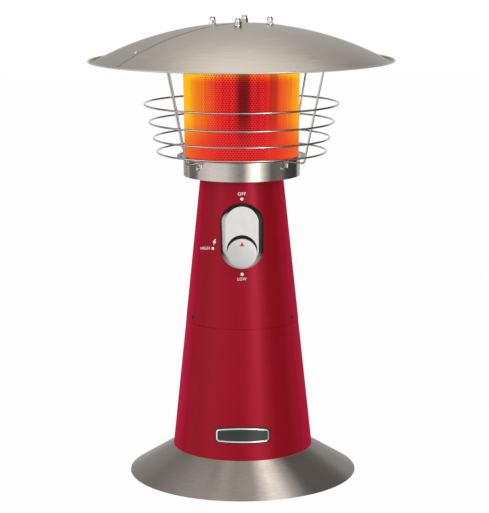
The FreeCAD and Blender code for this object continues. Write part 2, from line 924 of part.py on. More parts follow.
def make_seat_ring():
    """The ring that locates the foot of the housing."""
    inset = wall_across + s.seat_side_clearance
    floor = s.base_top_height + s.base_sheet
    top = s.base_top_height + s.seat_height
    outer_low = housing_radius(s.base_top_height, inset)
    outer_high = housing_radius(top, inset)
    body = turned("SeatRing", [
        (s.base_hole_radius, s.base_top_height), (outer_low, s.base_top_height), (outer_high, top),
        (outer_high - s.base_sheet, top), (outer_low - s.base_sheet, floor), (s.base_hole_radius, floor),
    ])
    upright_holes(body, rivet_hole, s.seat_rivet_circle, s.seat_rivet_count, s.base_top_height, floor)
    return node("seat_ring", body)


def make_cylinder_ring():
    """The flanged ring on the plate that the foot of the gas cylinder stands in."""
    inner = s.cylinder_radius + s.cylinder_clearance
    outer = inner + s.base_sheet
    low = plate_top + s.base_sheet
    top = plate_top + s.cylinder_ring_height
    body = turned("CylinderRing", [
        (inner, plate_top), (s.cylinder_ring_flange_radius, plate_top),
        (s.cylinder_ring_flange_radius, low), (outer, low), (outer, top), (inner, top),
    ])
    upright_holes(body, screw_hole, s.ring_screw_circle, s.base_screw_count, plate_top, low)
    return node("cylinder_ring", body)


def make_foot_pads():
    """Rubber pads, each with a plug through the plate."""
    body = new_body("FootPads")
    features = []
    for radius, low, high in ((s.foot_pad_radius, as_size(0), s.foot_pad_height),
                              (s.foot_pad_plug_radius, s.foot_pad_height, plate_top)):
        sketch = new_sketch(body, "XY_Plane", low)
        draw_circle(sketch, radius, s.foot_pad_circle, 0)
        features.append(pad(body, sketch, high - low))
    repeat(body, features, s.foot_pad_count)
    return node("foot_pads", body)


def make_base_screws():
    """Screws up through the plate, into the flanges of the drum and the cylinder's ring."""
    body = new_body("BaseScrews")
    features = []
    head_bottom = s.foot_pad_height - s.base_screw_head_height
    for circle in (s.drum_screw_circle, s.ring_screw_circle):
        for radius, low, length in ((s.base_screw_head_radius, head_bottom, s.base_screw_head_height),
                                    (s.base_screw_radius, s.foot_pad_height, s.base_screw_length)):
            sketch = new_sketch(body, "XY_Plane", low)
            draw_circle(sketch, radius, circle, 0)
            features.append(pad(body, sketch, length))
    repeat(body, features, s.base_screw_count)
    return node("base_screws", body)


def make_rivets(name, label, circle, count, low, high):
    """A ring of upright rivets with a head above and a formed tail below."""
    body = new_body(label)
    features = []
    for radius, start, length in ((s.rivet_head_radius, low - s.rivet_head_height, s.rivet_head_height),
                                  (s.rivet_radius, low, high - low),
                                  (s.rivet_head_radius, high, s.rivet_head_height)):
        sketch = new_sketch(body, "XY_Plane", start)
        draw_circle(sketch, radius, circle, 0)
        features.append(pad(body, sketch, length))
    repeat(body, features, count)
    return node(name, body)


make_base_shell()
make_base_plate()
make_support_drum()
make_seat_ring()
make_cylinder_ring()
make_foot_pads()
make_base_screws()
make_rivets("seat_rivets", "SeatRivets", s.seat_rivet_circle, s.seat_rivet_count,
            shelf_top - s.base_sheet, s.base_top_height + s.base_sheet)


# Housing

neck_inset = wall_across + s.neck_gap
housing_screw_hole = s.housing_screw_radius + s.hole_clearance
housing_screw_angles = [-s.housing_screw_azimuth, s.housing_screw_azimuth, as_size(HALF_TURN)]


def housing_screw_drill(label):
    """Three radial bars that drill the holes for the housing's screws."""
    one = bar(label + "Bar", housing_screw_hole, s.drill_length, y=-s.housing_drill_start,
              z=s.housing_screw_height, facing="front")
    return copies(label, one, housing_screw_angles)


def make_lower_housing():
    """The lower cone, with a drawn-in neck that slips inside the upper one."""
    seam_inset = wall_across + s.seam_step
    low_seam = s.seam_height - s.seam_gap
    neck_top = s.seam_height + s.neck_height
    neck_low = housing_radius(s.seam_height, neck_inset)
    neck_high = housing_radius(neck_top, neck_inset)
    body = turned("LowerHousingCone", [
        (s.housing_foot_radius, housing_foot),
        (housing_radius(low_seam, s.seam_step), low_seam),
        (neck_low, s.seam_height),
        (neck_high, neck_top),
        (neck_high - wall_across, neck_top),
        (neck_low - wall_across, s.seam_height - s.seam_gap),
        (housing_radius(low_seam - s.housing_sheet, seam_inset), low_seam - s.housing_sheet),
        (s.housing_foot_radius - wall_across, housing_foot),
    ])
    return node("lower_housing", cut("LowerHousing", body, housing_screw_drill("LowerDrill")))


def make_upper_housing():
    """The upper cone, turned in at the top, with the knob's window and its drilled holes."""
    under = s.housing_top_height - s.housing_sheet
    body = turned("UpperHousingCone", [
        (housing_radius(s.seam_height + s.seam_gap), s.seam_height + s.seam_gap),
        (s.housing_top_radius, s.housing_top_height),
        (s.housing_flange_hole, s.housing_top_height),
        (s.housing_flange_hole, under),
        (housing_radius(under, wall_across), under),
        (housing_radius(s.seam_height + s.seam_gap, wall_across), s.seam_height + s.seam_gap),
    ])
    upright_holes(body, rivet_hole, s.pan_rivet_circle, s.pan_rivet_count, under, s.housing_top_height)
    reach = s.housing_foot_radius
    tools = [
        housing_screw_drill("UpperDrill"),
        bar("KnobWindow", s.knob_window_radius, reach, z=s.knob_height, facing="front"),
    ]
    for side, word in ((-1, "Left"), (1, "Right")):
        tools.append(bar("BracketHole" + word, s.bracket_screw_radius + s.hole_clearance, reach,
                         x=s.bracket_post_across * side, z=s.bracket_post_height, facing="front"))
        tools.append(bar("BezelHole" + word, s.bezel_post_radius + s.hole_clearance, reach,
                         x=s.bezel_post_across * side, z=s.bezel_post_height, facing="front"))
    return node("upper_housing", cut("UpperHousing", body, *tools))


def make_housing_screws():
    """The three dark screws just above the seam."""
    face = housing_radius(s.housing_screw_height - s.housing_screw_head_radius)
    edge = s.housing_screw_head_height / 2
    body = turned("HousingScrew", [
        (0, face - s.housing_screw_length),
        (s.housing_screw_radius, face - s.housing_screw_length),
        (s.housing_screw_radius, face),
        (s.housing_screw_head_radius, face),
        (s.housing_screw_head_radius, face + edge),
        (s.housing_screw_radius, face + s.housing_screw_head_height),
        (0, face + s.housing_screw_head_height),
    ], facing="front")
    place(body, z=s.housing_screw_height)
    return node("housing_screws", copies("HousingScrews", body, housing_screw_angles))


def cone_layer(name, gap, depth, low, high):
    """A conical layer that follows the outside of the housing."""
    outer = frustum(name + "Outer", housing_radius(low) + gap + depth, housing_radius(high) + gap + depth,
                    low, high)
    inner = frustum(name + "Inner", housing_radius(low) + gap, housing_radius(high) + gap, low, high)
    return cut(name, outer, inner)


def make_nameplate():
    """A plain curved plate: a bright rim round a dark blank field."""
    low = s.nameplate_middle - s.nameplate_height / 2
    high = s.nameplate_middle + s.nameplate_height / 2
    depth = s.housing_foot_radius + s.nameplate_reach
    rim_step = s.nameplate_rim_width
    inner_corner = s.nameplate_corner - rim_step
    rim = new_body("NameplateRimOutline")
    sketch = new_sketch(rim, "XZ_Plane")
    draw_rounded_box(sketch, s.nameplate_width / 2, low, high, s.nameplate_corner)
    pad(rim, sketch, depth)
    window = new_sketch(rim, "XZ_Plane")
    draw_rounded_box(window, s.nameplate_width / 2 - rim_step, low + rim_step, high - rim_step, inner_corner)
    pocket(rim, window, depth, reverse=True)
    insert = new_body("NameplateInsertOutline")
    step = rim_step + s.nameplate_gap
    sketch = new_sketch(insert, "XZ_Plane")
    draw_rounded_box(sketch, s.nameplate_width / 2 - step, low + step, high - step,
                     inner_corner - s.nameplate_gap)
    pad(insert, sketch, depth)
    below = low - s.cut_overlap
    above = high + s.cut_overlap
    rim_layer = cone_layer("RimLayer", s.nameplate_gap, s.nameplate_rim_depth, below, above)
    insert_layer = cone_layer("InsertLayer", s.nameplate_gap, s.nameplate_insert_depth, below, above)
    node("nameplate_rim", common("NameplateRim", rim, rim_layer))
    node("nameplate_insert", common("NameplateInsert", insert, insert_layer))


make_lower_housing()
make_upper_housing()
make_housing_screws()
make_nameplate()


# Regulator

boss_outer = s.inlet_bore_radius + s.inlet_wall
regulator_top = s.bracket_top + s.regulator_height
diaphragm_low = regulator_top + s.regulator_rim_height


def make_regulator_bracket():
    """A dished plate inside the neck, held by the housing's screws, that carries the regulator."""
    inset = neck_inset + wall_across + s.bracket_rim_gap
    low = s.bracket_rim_bottom
    web = s.bracket_top - s.bracket_sheet
    hole = boss_outer + s.hole_clearance
    outer_low = housing_radius(low, inset)
    outer_high = housing_radius(s.bracket_top, inset)
    body = turned("RegulatorBracketDish", [
        (hole, web), (outer_high - s.bracket_sheet, web), (outer_low - s.bracket_sheet, low),
        (outer_low, low), (outer_high, s.bracket_top), (hole, s.bracket_top),
    ])
    upright_holes(body, s.bracket_vent_radius, s.bracket_vent_circle, s.bracket_vent_count,
                  web, s.bracket_top)
    return node("regulator_bracket", cut("RegulatorBracket", body, housing_screw_drill("BracketDrill")))


def make_regulator():
    """The cast body with its threaded inlet, the diaphragm, the cap and the spring on the bracket."""
    inlet_top = s.inlet_bottom + s.inlet_bore_depth
    gas_hole = s.gas_pipe_radius / 2
    casting = turned("RegulatorCasting", [
        (s.inlet_bore_radius, s.inlet_bottom), (boss_outer, s.inlet_bottom), (boss_outer, s.bracket_top),
        (s.regulator_radius, s.bracket_top), (s.regulator_radius, regulator_top),
        (s.diaphragm_radius, regulator_top), (s.diaphragm_radius, diaphragm_low),
        (s.regulator_radius - s.boss_wall, diaphragm_low),
        (s.regulator_radius - s.boss_wall, regulator_top - s.boss_wall),
        (gas_hole, regulator_top - s.boss_wall),
        (gas_hole, inlet_top), (s.inlet_bore_radius, inlet_top),
    ])
    port = bar("RegulatorPort", s.port_radius, s.regulator_radius + s.port_length - s.boss_wall,
               y=-s.boss_wall, z=s.outlet_height, facing="front")
    node("regulator_body", fuse("RegulatorBody", casting, port))
    diaphragm_top = diaphragm_low + s.diaphragm_sheet
    node("regulator_diaphragm", turned("RegulatorDiaphragm", [
        (0, diaphragm_low), (s.diaphragm_radius, diaphragm_low), (s.diaphragm_radius, diaphragm_top),
        (0, diaphragm_top),
    ]))
    cap_top = diaphragm_top + s.regulator_cap_height
    wall = s.regulator_cap_wall
    shoulder = s.regulator_radius - s.port_length
    node("regulator_cap", turned("RegulatorCap", [
        (s.regulator_radius - wall, diaphragm_top), (s.diaphragm_radius, diaphragm_top),
        (s.diaphragm_radius, diaphragm_top + wall), (s.regulator_radius, diaphragm_top + wall),
        (shoulder, cap_top), (0, cap_top), (0, cap_top - wall), (shoulder - wall, cap_top - wall),
    ]))
    node("regulator_spring", coil("RegulatorSpring", s.regulator_spring_radius,
                                  s.regulator_spring_wire / 2, diaphragm_top + s.hole_clearance,
                                  cap_top - wall - s.hole_clearance, s.regulator_spring_turns))


def make_gas_pipe():
    """The pipe from the regulator's port up to the valve."""
    start = s.regulator_radius + s.port_length
    valve_low = s.knob_height - s.valve_height / 2 - s.port_length
    climb = valve_low - s.outlet_height
    points = [
        (0, -start, s.outlet_height),
        (0, -s.gas_pipe_out, s.outlet_height),
        (0, -s.gas_pipe_out, s.outlet_height + climb * s.gas_pipe_straight_share),
        (0, -s.valve_port_out, s.outlet_height + climb * s.gas_pipe_slant_share),
        (0, -s.valve_port_out, valve_low),
    ]
    return node("gas_pipe", tube_along("GasPipe", s.gas_pipe_radius, points, s.gas_pipe_bend))


make_regulator_bracket()
make_regulator()
make_gas_pipe()


# Valve

plate_front = s.valve_front + s.valve_plate_sheet


def make_valve_bracket():
    """A plate across the housing with two posts, trimmed to the inside of the cone."""
    plate = block("ValvePlate", (-s.valve_plate_half_width, -plate_front, s.valve_plate_bottom),
                  (s.valve_plate_half_width, -s.valve_front, s.valve_plate_top))
    posts = []
    screws = []
    reach = s.housing_foot_radius - s.valve_front
    for side, word in ((-1, "Left"), (1, "Right")):
        across = s.bracket_post_across * side
        posts.append(bar("ValvePost" + word, s.bracket_post_radius, reach, x=across, y=-s.valve_front,
                         z=s.bracket_post_height, facing="front"))
        screws.append(bar("ValvePostHole" + word, s.bracket_screw_radius + s.hole_clearance,
                          reach + s.valve_front, x=across, z=s.bracket_post_height, facing="front"))
    inside = frustum("HousingInside",
                     housing_radius(s.valve_plate_bottom, wall_across + s.neck_gap),
                     housing_radius(s.valve_plate_top, wall_across + s.neck_gap),
                     s.valve_plate_bottom, s.valve_plate_top)
    trimmed = common("ValveBracketTrimmed", fuse("ValveBracketBlank", plate, *posts), inside)
    bushing_hole = bar("ValveBushingHole", s.bushing_radius + s.hole_clearance, s.housing_foot_radius,
                       z=s.knob_height, facing="front")
    return node("valve_bracket", cut("ValveBracket", trimmed, bushing_hole, *screws))


def make_bracket_screws():
    """Two screws under the bezel, through the housing into the bracket's posts."""
    links = []
    low = s.bracket_post_height - s.bracket_screw_head_radius
    near = s.bracket_post_across - s.bracket_screw_head_radius
    back = root(housing_radius(low) * housing_radius(low) - near * near) + s.hole_clearance
    for side, word in ((-1, "Left"), (1, "Right")):
        body = turned("BracketScrew" + word, [
            (0, back - s.bracket_screw_length),
            (s.bracket_screw_radius, back - s.bracket_screw_length),
            (s.bracket_screw_radius, back),
            (s.bracket_screw_head_radius, back),
            (s.bracket_screw_head_radius, back + s.bracket_screw_head_height),
            (0, back + s.bracket_screw_head_height),
        ], facing="front")
        place(body, x=s.bracket_post_across * side, z=s.bracket_post_height)
        links.append(body)
    group = doc.addObject("Part::Compound", "BracketScrews")
    group.Links = links
    return node("bracket_screws", group)


def make_valve_body():
    """The brass block with its bushing, its ports and the bore for the plug."""
    half_width = s.valve_width / 2
    half_height = s.valve_height / 2
    centre = s.knob_height
    parts = [
        block("ValveBlock", (-half_width, -s.valve_front, centre - half_height),
              (half_width, -s.valve_back, centre + half_height)),
        bar("ValveBushing", s.bushing_radius, s.bushing_front - s.valve_front, y=-s.valve_front,
            z=centre, facing="front"),
        bar("ValveInletPort", s.port_radius, s.port_length, y=-s.valve_port_out,
            z=centre - half_height - s.port_length),
        bar("ValveOutletPort", s.port_radius, s.port_length, y=-(s.valve_back - s.port_length),
            z=centre, facing="front"),
    ]
    tools = [
        bar("PlugBore", s.plug_radius + s.plug_clearance, s.valve_front - s.plug_back,
            y=-s.plug_back, z=centre, facing="front"),
        bar("StemBore", s.stem_radius + s.stem_bushing_clearance, s.bushing_front - s.plug_back,
            y=-s.plug_back, z=centre, facing="front"),
        bar("InletBore", s.gas_pipe_radius / 2, half_height + s.port_length, y=-s.valve_port_out,
            z=centre - half_height - s.port_length),
        bar("OutletBore", s.gas_pipe_radius / 2, s.plug_back, y=as_size(0), z=centre, facing="front"),
    ]
    return node("valve_body", cut("ValveBody", fuse("ValveCasting", *parts), *tools))


def make_valve_nut():
    """The hexagon nut that clamps the bushing to the bracket."""
    hexagon = doc.addObject("Part::Prism", "ValveNutHexagon")
    hexagon.Polygon = 6
    bind(hexagon, "Circumradius", s.valve_nut_corner)
    bind(hexagon, "Height", s.valve_nut_height)
    place(hexagon, y=-plate_front, z=s.knob_height, turn=90, axis=Vector(1, 0, 0))
    bore = bar("ValveNutBore", s.valve_nut_bore, s.valve_nut_height, y=-plate_front, z=s.knob_height,
               facing="front")
    return node("valve_nut", cut("ValveNut", hexagon, bore))


def make_valve_plug():
    """The turning plug, with a flatted socket that drives it from the stem."""
    back = s.plug_back + s.plug_end_gap
    front = s.valve_front - s.plug_end_gap
    body = turned("ValvePlug", [
        (0, back), (s.plug_radius, back), (s.plug_radius, front), (0, front),
    ], facing="front")
    socket = new_sketch(body, "XZ_Plane", s.socket_back)
    draw_d_shape(socket, s.stem_radius + s.stem_clearance, s.stem_flat + s.stem_clearance)
    pocket(body, socket, front - s.socket_back, reverse=True)
    place(body, z=s.knob_height)
    return node("valve_plug", body)


def make_jet():
    """The pipe to the jet, and the jet that sits in the mouth of the mixing tube."""
    start = s.valve_back - s.port_length
    points = [(0, -start, s.knob_height), (0, s.hole_clearance, s.knob_height),
              (0, s.hole_clearance, s.jet_pipe_top)]
    pipe = tube_along("JetPipe", s.gas_pipe_radius, points, s.jet_bend)
    node("jet_pipe", pipe)
    bore = s.gas_pipe_radius + s.hole_clearance * 2
    collar_top = s.jet_collar_bottom + s.jet_collar_height
    collar = s.venturi_mouth_radius - s.venturi_wall - s.hole_clearance * 2
    tip_top = collar_top + s.jet_tip_height
    node("orifice_jet", turned("OrificeJet", [
        (bore, s.jet_bottom), (s.jet_radius, s.jet_bottom), (s.jet_radius, s.jet_collar_bottom),
        (collar, s.jet_collar_bottom), (collar, collar_top), (s.jet_tip_radius, collar_top),
        (s.jet_tip_radius, tip_top), (s.jet_hole_radius, tip_top),
        (s.jet_hole_radius, s.jet_pipe_top + s.hole_clearance),
        (bore, s.jet_pipe_top + s.hole_clearance),
    ]))


make_valve_bracket()
make_bracket_screws()
make_valve_body()
make_valve_nut()
make_valve_plug()
make_jet()


# Knob and its bezel

def make_knob():
    """A hollow chrome knob with a slightly crowned face and a hub for the stem."""
    edge_out = s.knob_front - s.knob_crown
    shoulder = edge_out - s.knob_edge
    face_radius = s.knob_radius - s.knob_edge
    crown_ball = (face_radius * face_radius + s.knob_crown * s.knob_crown) / (s.knob_crown * 2)
    ceiling = s.knob_front - s.knob_face_wall
    inner = s.knob_radius - s.knob_wall
    body = turned("KnobShell", [
        (inner, s.knob_back), (s.knob_radius, s.knob_back), (s.knob_radius, shoulder),
        Arc(face_radius, shoulder), (face_radius, Free(edge_out)),
        Arc(0, s.knob_front - crown_ball), (0, Free(s.knob_front)),
        (0, s.knob_back), (s.knob_hub_radius, s.knob_back), (s.knob_hub_radius, ceiling),
        (inner, ceiling),
    ], facing="front")
    socket = new_sketch(body, "XZ_Plane", s.knob_back)
    draw_d_shape(socket, s.stem_radius + s.stem_clearance, s.stem_flat + s.stem_clearance)
    pocket(body, socket, s.stem_front - s.knob_back + s.hole_clearance, reverse=True)
    mark = new_sketch(body, "XZ_Plane", s.knob_front)
    draw_pointer(mark, s.pointer_gap)
    pocket(body, mark, s.pointer_depth)
    place(body, z=s.knob_height)
    return node("knob", body)


def draw_pointer(sketch, gap):
    """Draw the triangle that points up at OFF, larger all round by a gap."""
    half = s.pointer_width / 2 + gap * 2
    low = s.pointer_low - gap
    high = s.pointer_low + s.pointer_height + gap * 2
    draw(sketch, [(-half, low), (half, low), (0, high)])


def make_knob_pointer():
    """The red triangle set into the knob's face."""
    body = new_body("KnobPointer")
    sketch = new_sketch(body, "XZ_Plane", s.knob_front - s.pointer_depth)
    draw_pointer(sketch, as_size(0))
    pad(body, sketch, s.pointer_depth + s.pointer_gap)
    place(body, z=s.knob_height)
    return node("knob_pointer", body)


def make_knob_stem():
    """The flatted stem between the knob and the plug."""
    body = new_body("KnobStem")
    sketch = new_sketch(body, "XZ_Plane", s.stem_back)
    draw_d_shape(sketch, s.stem_radius, s.stem_flat)
    pad(body, sketch, s.stem_front - s.stem_back)
    place(body, z=s.knob_height)
    return node("knob_stem", body)


def make_return_spring():
    """The spring between the bushing and the knob's hub."""
    item = coil("KnobReturnSpring", s.return_spring_radius, s.return_spring_wire / 2,
                s.bushing_front + s.hole_clearance, s.knob_back - s.hole_clearance,
                s.return_spring_turns)
    item.Placement = Placement(Vector(0, 0, s.knob_height.number), Rotation(Vector(1, 0, 0), 90))
    return node("knob_return_spring", item)


def stadium(sketch, radius, span):
    """Draw two half circles joined by straight sides, from the knob's axis upwards."""
    draw(sketch, [
        (Free(radius), 0), (radius, span),
        Arc(0, span), (Free(-radius), span),
        (-radius, 0),
        Arc(0, 0),
    ])


def make_knob_bezel():
    """The bright surround: a drafted, hollow raised plate that follows the housing's slope."""
    shell = new_body("BezelShell")
    face = new_sketch(shell, "XZ_Plane", s.bezel_face_out)
    stadium(face, s.bezel_face_radius, s.bezel_face_span)
    pad(shell, face, s.bezel_depth, s.bezel_draft, reverse=True)
    hollow = new_body("BezelHollow")
    narrower = s.bezel_wall / cosine(s.bezel_draft) - s.bezel_wall * tangent(s.bezel_draft)
    inner_face = new_sketch(hollow, "XZ_Plane", s.bezel_face_out - s.bezel_wall)
    stadium(inner_face, s.bezel_face_radius - narrower, s.bezel_face_span)
    pad(hollow, inner_face, s.bezel_depth, s.bezel_draft, reverse=True)
    seat = housing_radius(s.knob_height)
    for body in (shell, hollow):
        place(body, y=-seat, z=s.knob_height, turn=housing_angle, axis=Vector(-1, 0, 0))
    rounded = doc.addObject("Part::Fillet", "BezelRounded")
    rounded.Base = shell
    doc.recompute()
    top_edges = []
    seat_point = Vector(0, -seat.number, s.knob_height.number)
    outwards = Vector(0, -cosine(housing_angle).number, sine(housing_angle).number)
    for index, edge in enumerate(shell.Shape.Edges, start=1):
        out = (edge.CenterOfMass - seat_point).dot(outwards)
        if abs(out - s.bezel_face_out.number) < EDGE_TOLERANCE:
            top_edges.append((index, s.bezel_edge.number, s.bezel_edge.number))
    rounded.Edges = top_edges
    posts = []
    for side, word in ((-1, "Left"), (1, "Right")):
        posts.append(bar("BezelPost" + word, s.bezel_post_radius, s.knob_back - s.bezel_post_back,
                         x=s.bezel_post_across * side, y=-s.bezel_post_back, z=s.bezel_post_height,
                         facing="front"))
    housing_solid = frustum("BezelSeatCone", housing_radius(housing_foot) + s.bezel_gap,
                            housing_radius(s.housing_top_height) + s.bezel_gap,
                            housing_foot, s.housing_top_height)
    hole = bar("BezelKnobHole", s.bezel_hole_radius, s.knob_front, z=s.knob_height, facing="front")
    cover = cut("BezelCover", rounded, hollow, housing_solid, hole)
    posts_trimmed = common("BezelPosts", fuse("BezelPostPair", *posts), shell)
    tails = []
    for side, word in ((-1, "Left"), (1, "Right")):
        tails.append(bar("BezelTail" + word, s.bezel_post_radius, housing_radius(s.bezel_post_height)
                         - s.bezel_post_back, x=s.bezel_post_across * side, y=-s.bezel_post_back,
                         z=s.bezel_post_height, facing="front"))
    return node("knob_bezel", fuse("KnobBezel", cover, posts_trimmed, *tails))


make_knob()
make_knob_pointer()
make_knob_stem()
make_return_spring()
make_knob_bezel()


# Collar

pan_floor = s.housing_top_height + s.collar_sheet
skirt_outer = s.collar_radius - s.collar_sheet - s.collar_skirt_gap
skirt_inner = skirt_outer - s.collar_flange_sheet
collar_screw_hole = s.collar_screw_radius + s.hole_clearance
probe_hole = s.insulator_radius + s.probe_hole_clearance


def collar_screw_drills(label):
    """The drills for the screws through the collar's band and skirt."""
    screw = bar(label + "ScrewBar", collar_screw_hole, s.drill_length, y=-s.collar_drill_start,
                z=s.collar_screw_height, facing="front")
    return copies(label + "Screws", screw, even_angles(s.collar_screw_azimuth, s.collar_screw_count))


def make_collar_pan():
    """The stainless band with a floor, which carries the burner."""
    hole = s.venturi_radius + s.burner_neck_gap + s.burner_wall + s.hole_clearance
    body = turned("CollarPanBlank", [
        (hole, s.housing_top_height), (s.collar_radius, s.housing_top_height),
        (s.collar_radius, s.collar_top), (s.collar_radius - s.collar_sheet, s.collar_top),
        (s.collar_radius - s.collar_sheet, pan_floor), (hole, pan_floor),
    ])
    upright_holes(body, s.collar_vent_radius, s.collar_vent_circle, s.collar_vent_count,
                  s.housing_top_height, pan_floor)
    upright_holes(body, rivet_hole, s.pan_rivet_circle, s.pan_rivet_count,
                  s.housing_top_height, pan_floor)
    probes = []
    for side, word in ((-1, "Left"), (1, "Right")):
        one = bar("ProbeBar" + word, probe_hole, s.collar_sheet, y=-s.probe_circle, z=s.housing_top_height)
        probes.append(copies("ProbeHole" + word, one, [s.electrode_azimuth * side]))
    return node("collar_pan", cut("CollarPan", body, collar_screw_drills("Pan"), *probes))


def make_collar_flange():
    """The thin disc on the collar, with a skirt inside the band and a ledge for the emitter."""
    top = s.collar_top + s.collar_flange_sheet
    ledge = s.collar_skirt_bottom + s.collar_flange_sheet
    body = turned("CollarFlangeBlank", [
        (skirt_inner, top), (s.collar_flange_radius, top), (s.collar_flange_radius, s.collar_top),
        (skirt_outer, s.collar_top), (skirt_outer, s.collar_skirt_bottom),
        (s.collar_ledge_radius, s.collar_skirt_bottom), (s.collar_ledge_radius, ledge),
        (skirt_inner, ledge),
    ])
    return node("collar_flange", cut("CollarFlange", body, collar_screw_drills("Flange")))


def make_collar_screws():
    """Four round-headed screws through the band and the skirt."""
    face = s.collar_radius
    end = face - s.collar_screw_length
    edge = s.collar_screw_head_radius - s.collar_screw_head_height / 2
    body = turned("CollarScrew", [
        (0, end),
        (s.collar_screw_radius, end),
        (s.collar_screw_radius, face),
        (s.collar_screw_head_radius, face),
        (s.collar_screw_head_radius, face + s.collar_screw_head_height / 2),
        (edge, face + s.collar_screw_head_height),
        (0, face + s.collar_screw_head_height),
    ], facing="front")
    place(body, z=s.collar_screw_height)
    angles = even_angles(s.collar_screw_azimuth, s.collar_screw_count)
    return node("collar_screws", copies("CollarScrews", body, angles))


make_collar_pan()
make_collar_flange()
make_collar_screws()
make_rivets("pan_rivets", "PanRivets", s.pan_rivet_circle, s.pan_rivet_count,
            s.housing_top_height - s.housing_sheet, pan_floor)


# Burner

neck_inner = s.venturi_radius + s.burner_neck_gap


def make_venturi():
    """The mixing tube, with a wide mouth drilled for air."""
    wall = s.venturi_wall
    body = turned("VenturiTube", [
        (s.venturi_mouth_radius - wall, s.jet_collar_bottom),
        (s.venturi_mouth_radius, s.jet_collar_bottom),
        (s.venturi_mouth_radius, s.venturi_mouth_top),
        (s.venturi_radius, s.venturi_cone_top),
        (s.venturi_radius, pan_floor),
        (s.venturi_radius - wall, pan_floor),
        (s.venturi_radius - wall, s.venturi_cone_top),
        (s.venturi_mouth_radius - wall, s.venturi_mouth_top),
    ])
    reach = (s.venturi_mouth_radius + s.cut_overlap) * 2
    across = bar("AirHoleAcross", s.venturi_air_radius, reach, x=-reach / 2,
                 z=s.venturi_air_height, facing="right")
    along = bar("AirHoleAlong", s.venturi_air_radius, reach, y=reach / 2,
                z=s.venturi_air_height, facing="front")
    return node("venturi_tube", cut("VenturiDrilled", body, across, along))


def make_burner():
    """The pressed burner pan over the mixing tube, and the mesh cap that the flame sits on."""
    wall = s.burner_wall
    neck_outer = neck_inner + wall
    node("burner_head", turned("BurnerHead", [
        (neck_inner, s.housing_top_height - s.burner_neck_drop),
        (neck_outer, s.housing_top_height - s.burner_neck_drop),
        (neck_outer, pan_floor), (s.burner_flange_radius, pan_floor),
        (s.burner_flange_radius, pan_floor + wall), (neck_outer, pan_floor + wall),
        (neck_outer, s.burner_floor_height - wall), (s.burner_radius, s.burner_floor_height - wall),
        (s.burner_radius, s.burner_top), (s.burner_radius - wall, s.burner_top),
        (s.burner_radius - wall, s.burner_floor_height), (neck_inner, s.burner_floor_height),
    ]))
    top = s.burner_top + s.burner_screen_sheet
    inner = s.burner_radius + s.burner_screen_gap
    outer = inner + s.burner_screen_sheet
    node("burner_screen", turned("BurnerScreen", [
        (0, s.burner_top), (inner, s.burner_top), (inner, top - s.burner_screen_skirt),
        (outer, top - s.burner_screen_skirt), (outer, top), (0, top),
    ]))


def make_emitter():
    """The perforated glowing cylinder, a little wider at the top, and the cap that closes it."""
    foot = s.collar_skirt_bottom + s.collar_flange_sheet
    wall = s.emitter_sheet
    node("emitter_screen", turned("EmitterScreen", [
        (s.emitter_foot_radius, foot), (s.emitter_foot_radius, s.emitter_foot_top),
        (s.emitter_low_radius, s.emitter_low_height), (s.emitter_top_radius, s.emitter_top),
        (s.emitter_top_radius - wall, s.emitter_top),
        (s.emitter_low_radius - wall, s.emitter_low_height),
        (s.emitter_foot_radius - wall, s.emitter_foot_top), (s.emitter_foot_radius - wall, foot),
    ]))
    top = s.emitter_top + s.emitter_cap_sheet
    inner = s.emitter_top_radius + s.emitter_cap_gap
    outer = inner + s.emitter_cap_sheet
    body = turned("EmitterCap", [
        (0, s.emitter_top), (inner, s.emitter_top), (inner, top - s.emitter_cap_skirt),
        (outer, top - s.emitter_cap_skirt), (outer, top), (0, top),
    ])
    stud_hole = s.stud_radius + s.hole_clearance
    studs = copies("CapStudHoles", bar("CapStudBar", stud_hole, s.emitter_cap_sheet, y=-s.stud_circle,
                                       z=s.emitter_top),
                   even_angles(s.stud_azimuth, s.stud_count))
    node("emitter_cap", cut("EmitterCapDrilled", body, studs))


make_venturi()
make_burner()
make_emitter()


# Guard

leg_angles = even_angles(s.leg_azimuth, s.leg_count)


def make_guard_legs():
    """Four wires welded to the band under the collar's flange, which lean out to just under the dome."""
    lean_angle = arc_tangent(1 / s.leg_lean)
    corner = leg_radius(s.leg_foot_height)
    reach = s.leg_foot_bend * tangent(lean_angle / 2)
    bend_start = (corner - reach, s.leg_foot_height)
    bend_end = (corner + reach * cosine(lean_angle), s.leg_foot_height + reach * sine(lean_angle))
    tail = s.collar_radius + s.weld_gap + s.leg_wire / 2
    tail_bottom = s.leg_foot_height - s.leg_tail_length
    body = new_body("GuardLeg")
    path = new_sketch(body, "YZ_Plane")
    draw(path, [
        (-tail, tail_bottom),
        (-tail, s.leg_foot_height - s.leg_tail_bend),
        Arc(-tail - s.leg_tail_bend, s.leg_foot_height - s.leg_tail_bend),
        (-tail - s.leg_tail_bend, Free(s.leg_foot_height)),
        (-bend_start[0], bend_start[1]),
        Arc(-bend_start[0], bend_start[1] + s.leg_foot_bend, False),
        (-bend_end[0], Free(bend_end[1])),
        (-leg_radius(s.leg_top), s.leg_top),
    ], closed=False)
    section = new_sketch(body, "XY_Plane", tail_bottom)
    draw_circle(section, s.leg_wire / 2, 0, -tail)
    wire = body.newObject("PartDesign::AdditivePipe", "GuardLegPipe")
    wire.Profile = (section, [""])
    wire.Spine = (path, [""])
    body.Tip = wire
    return node("guard_legs", copies("GuardLegs", body, leg_angles))


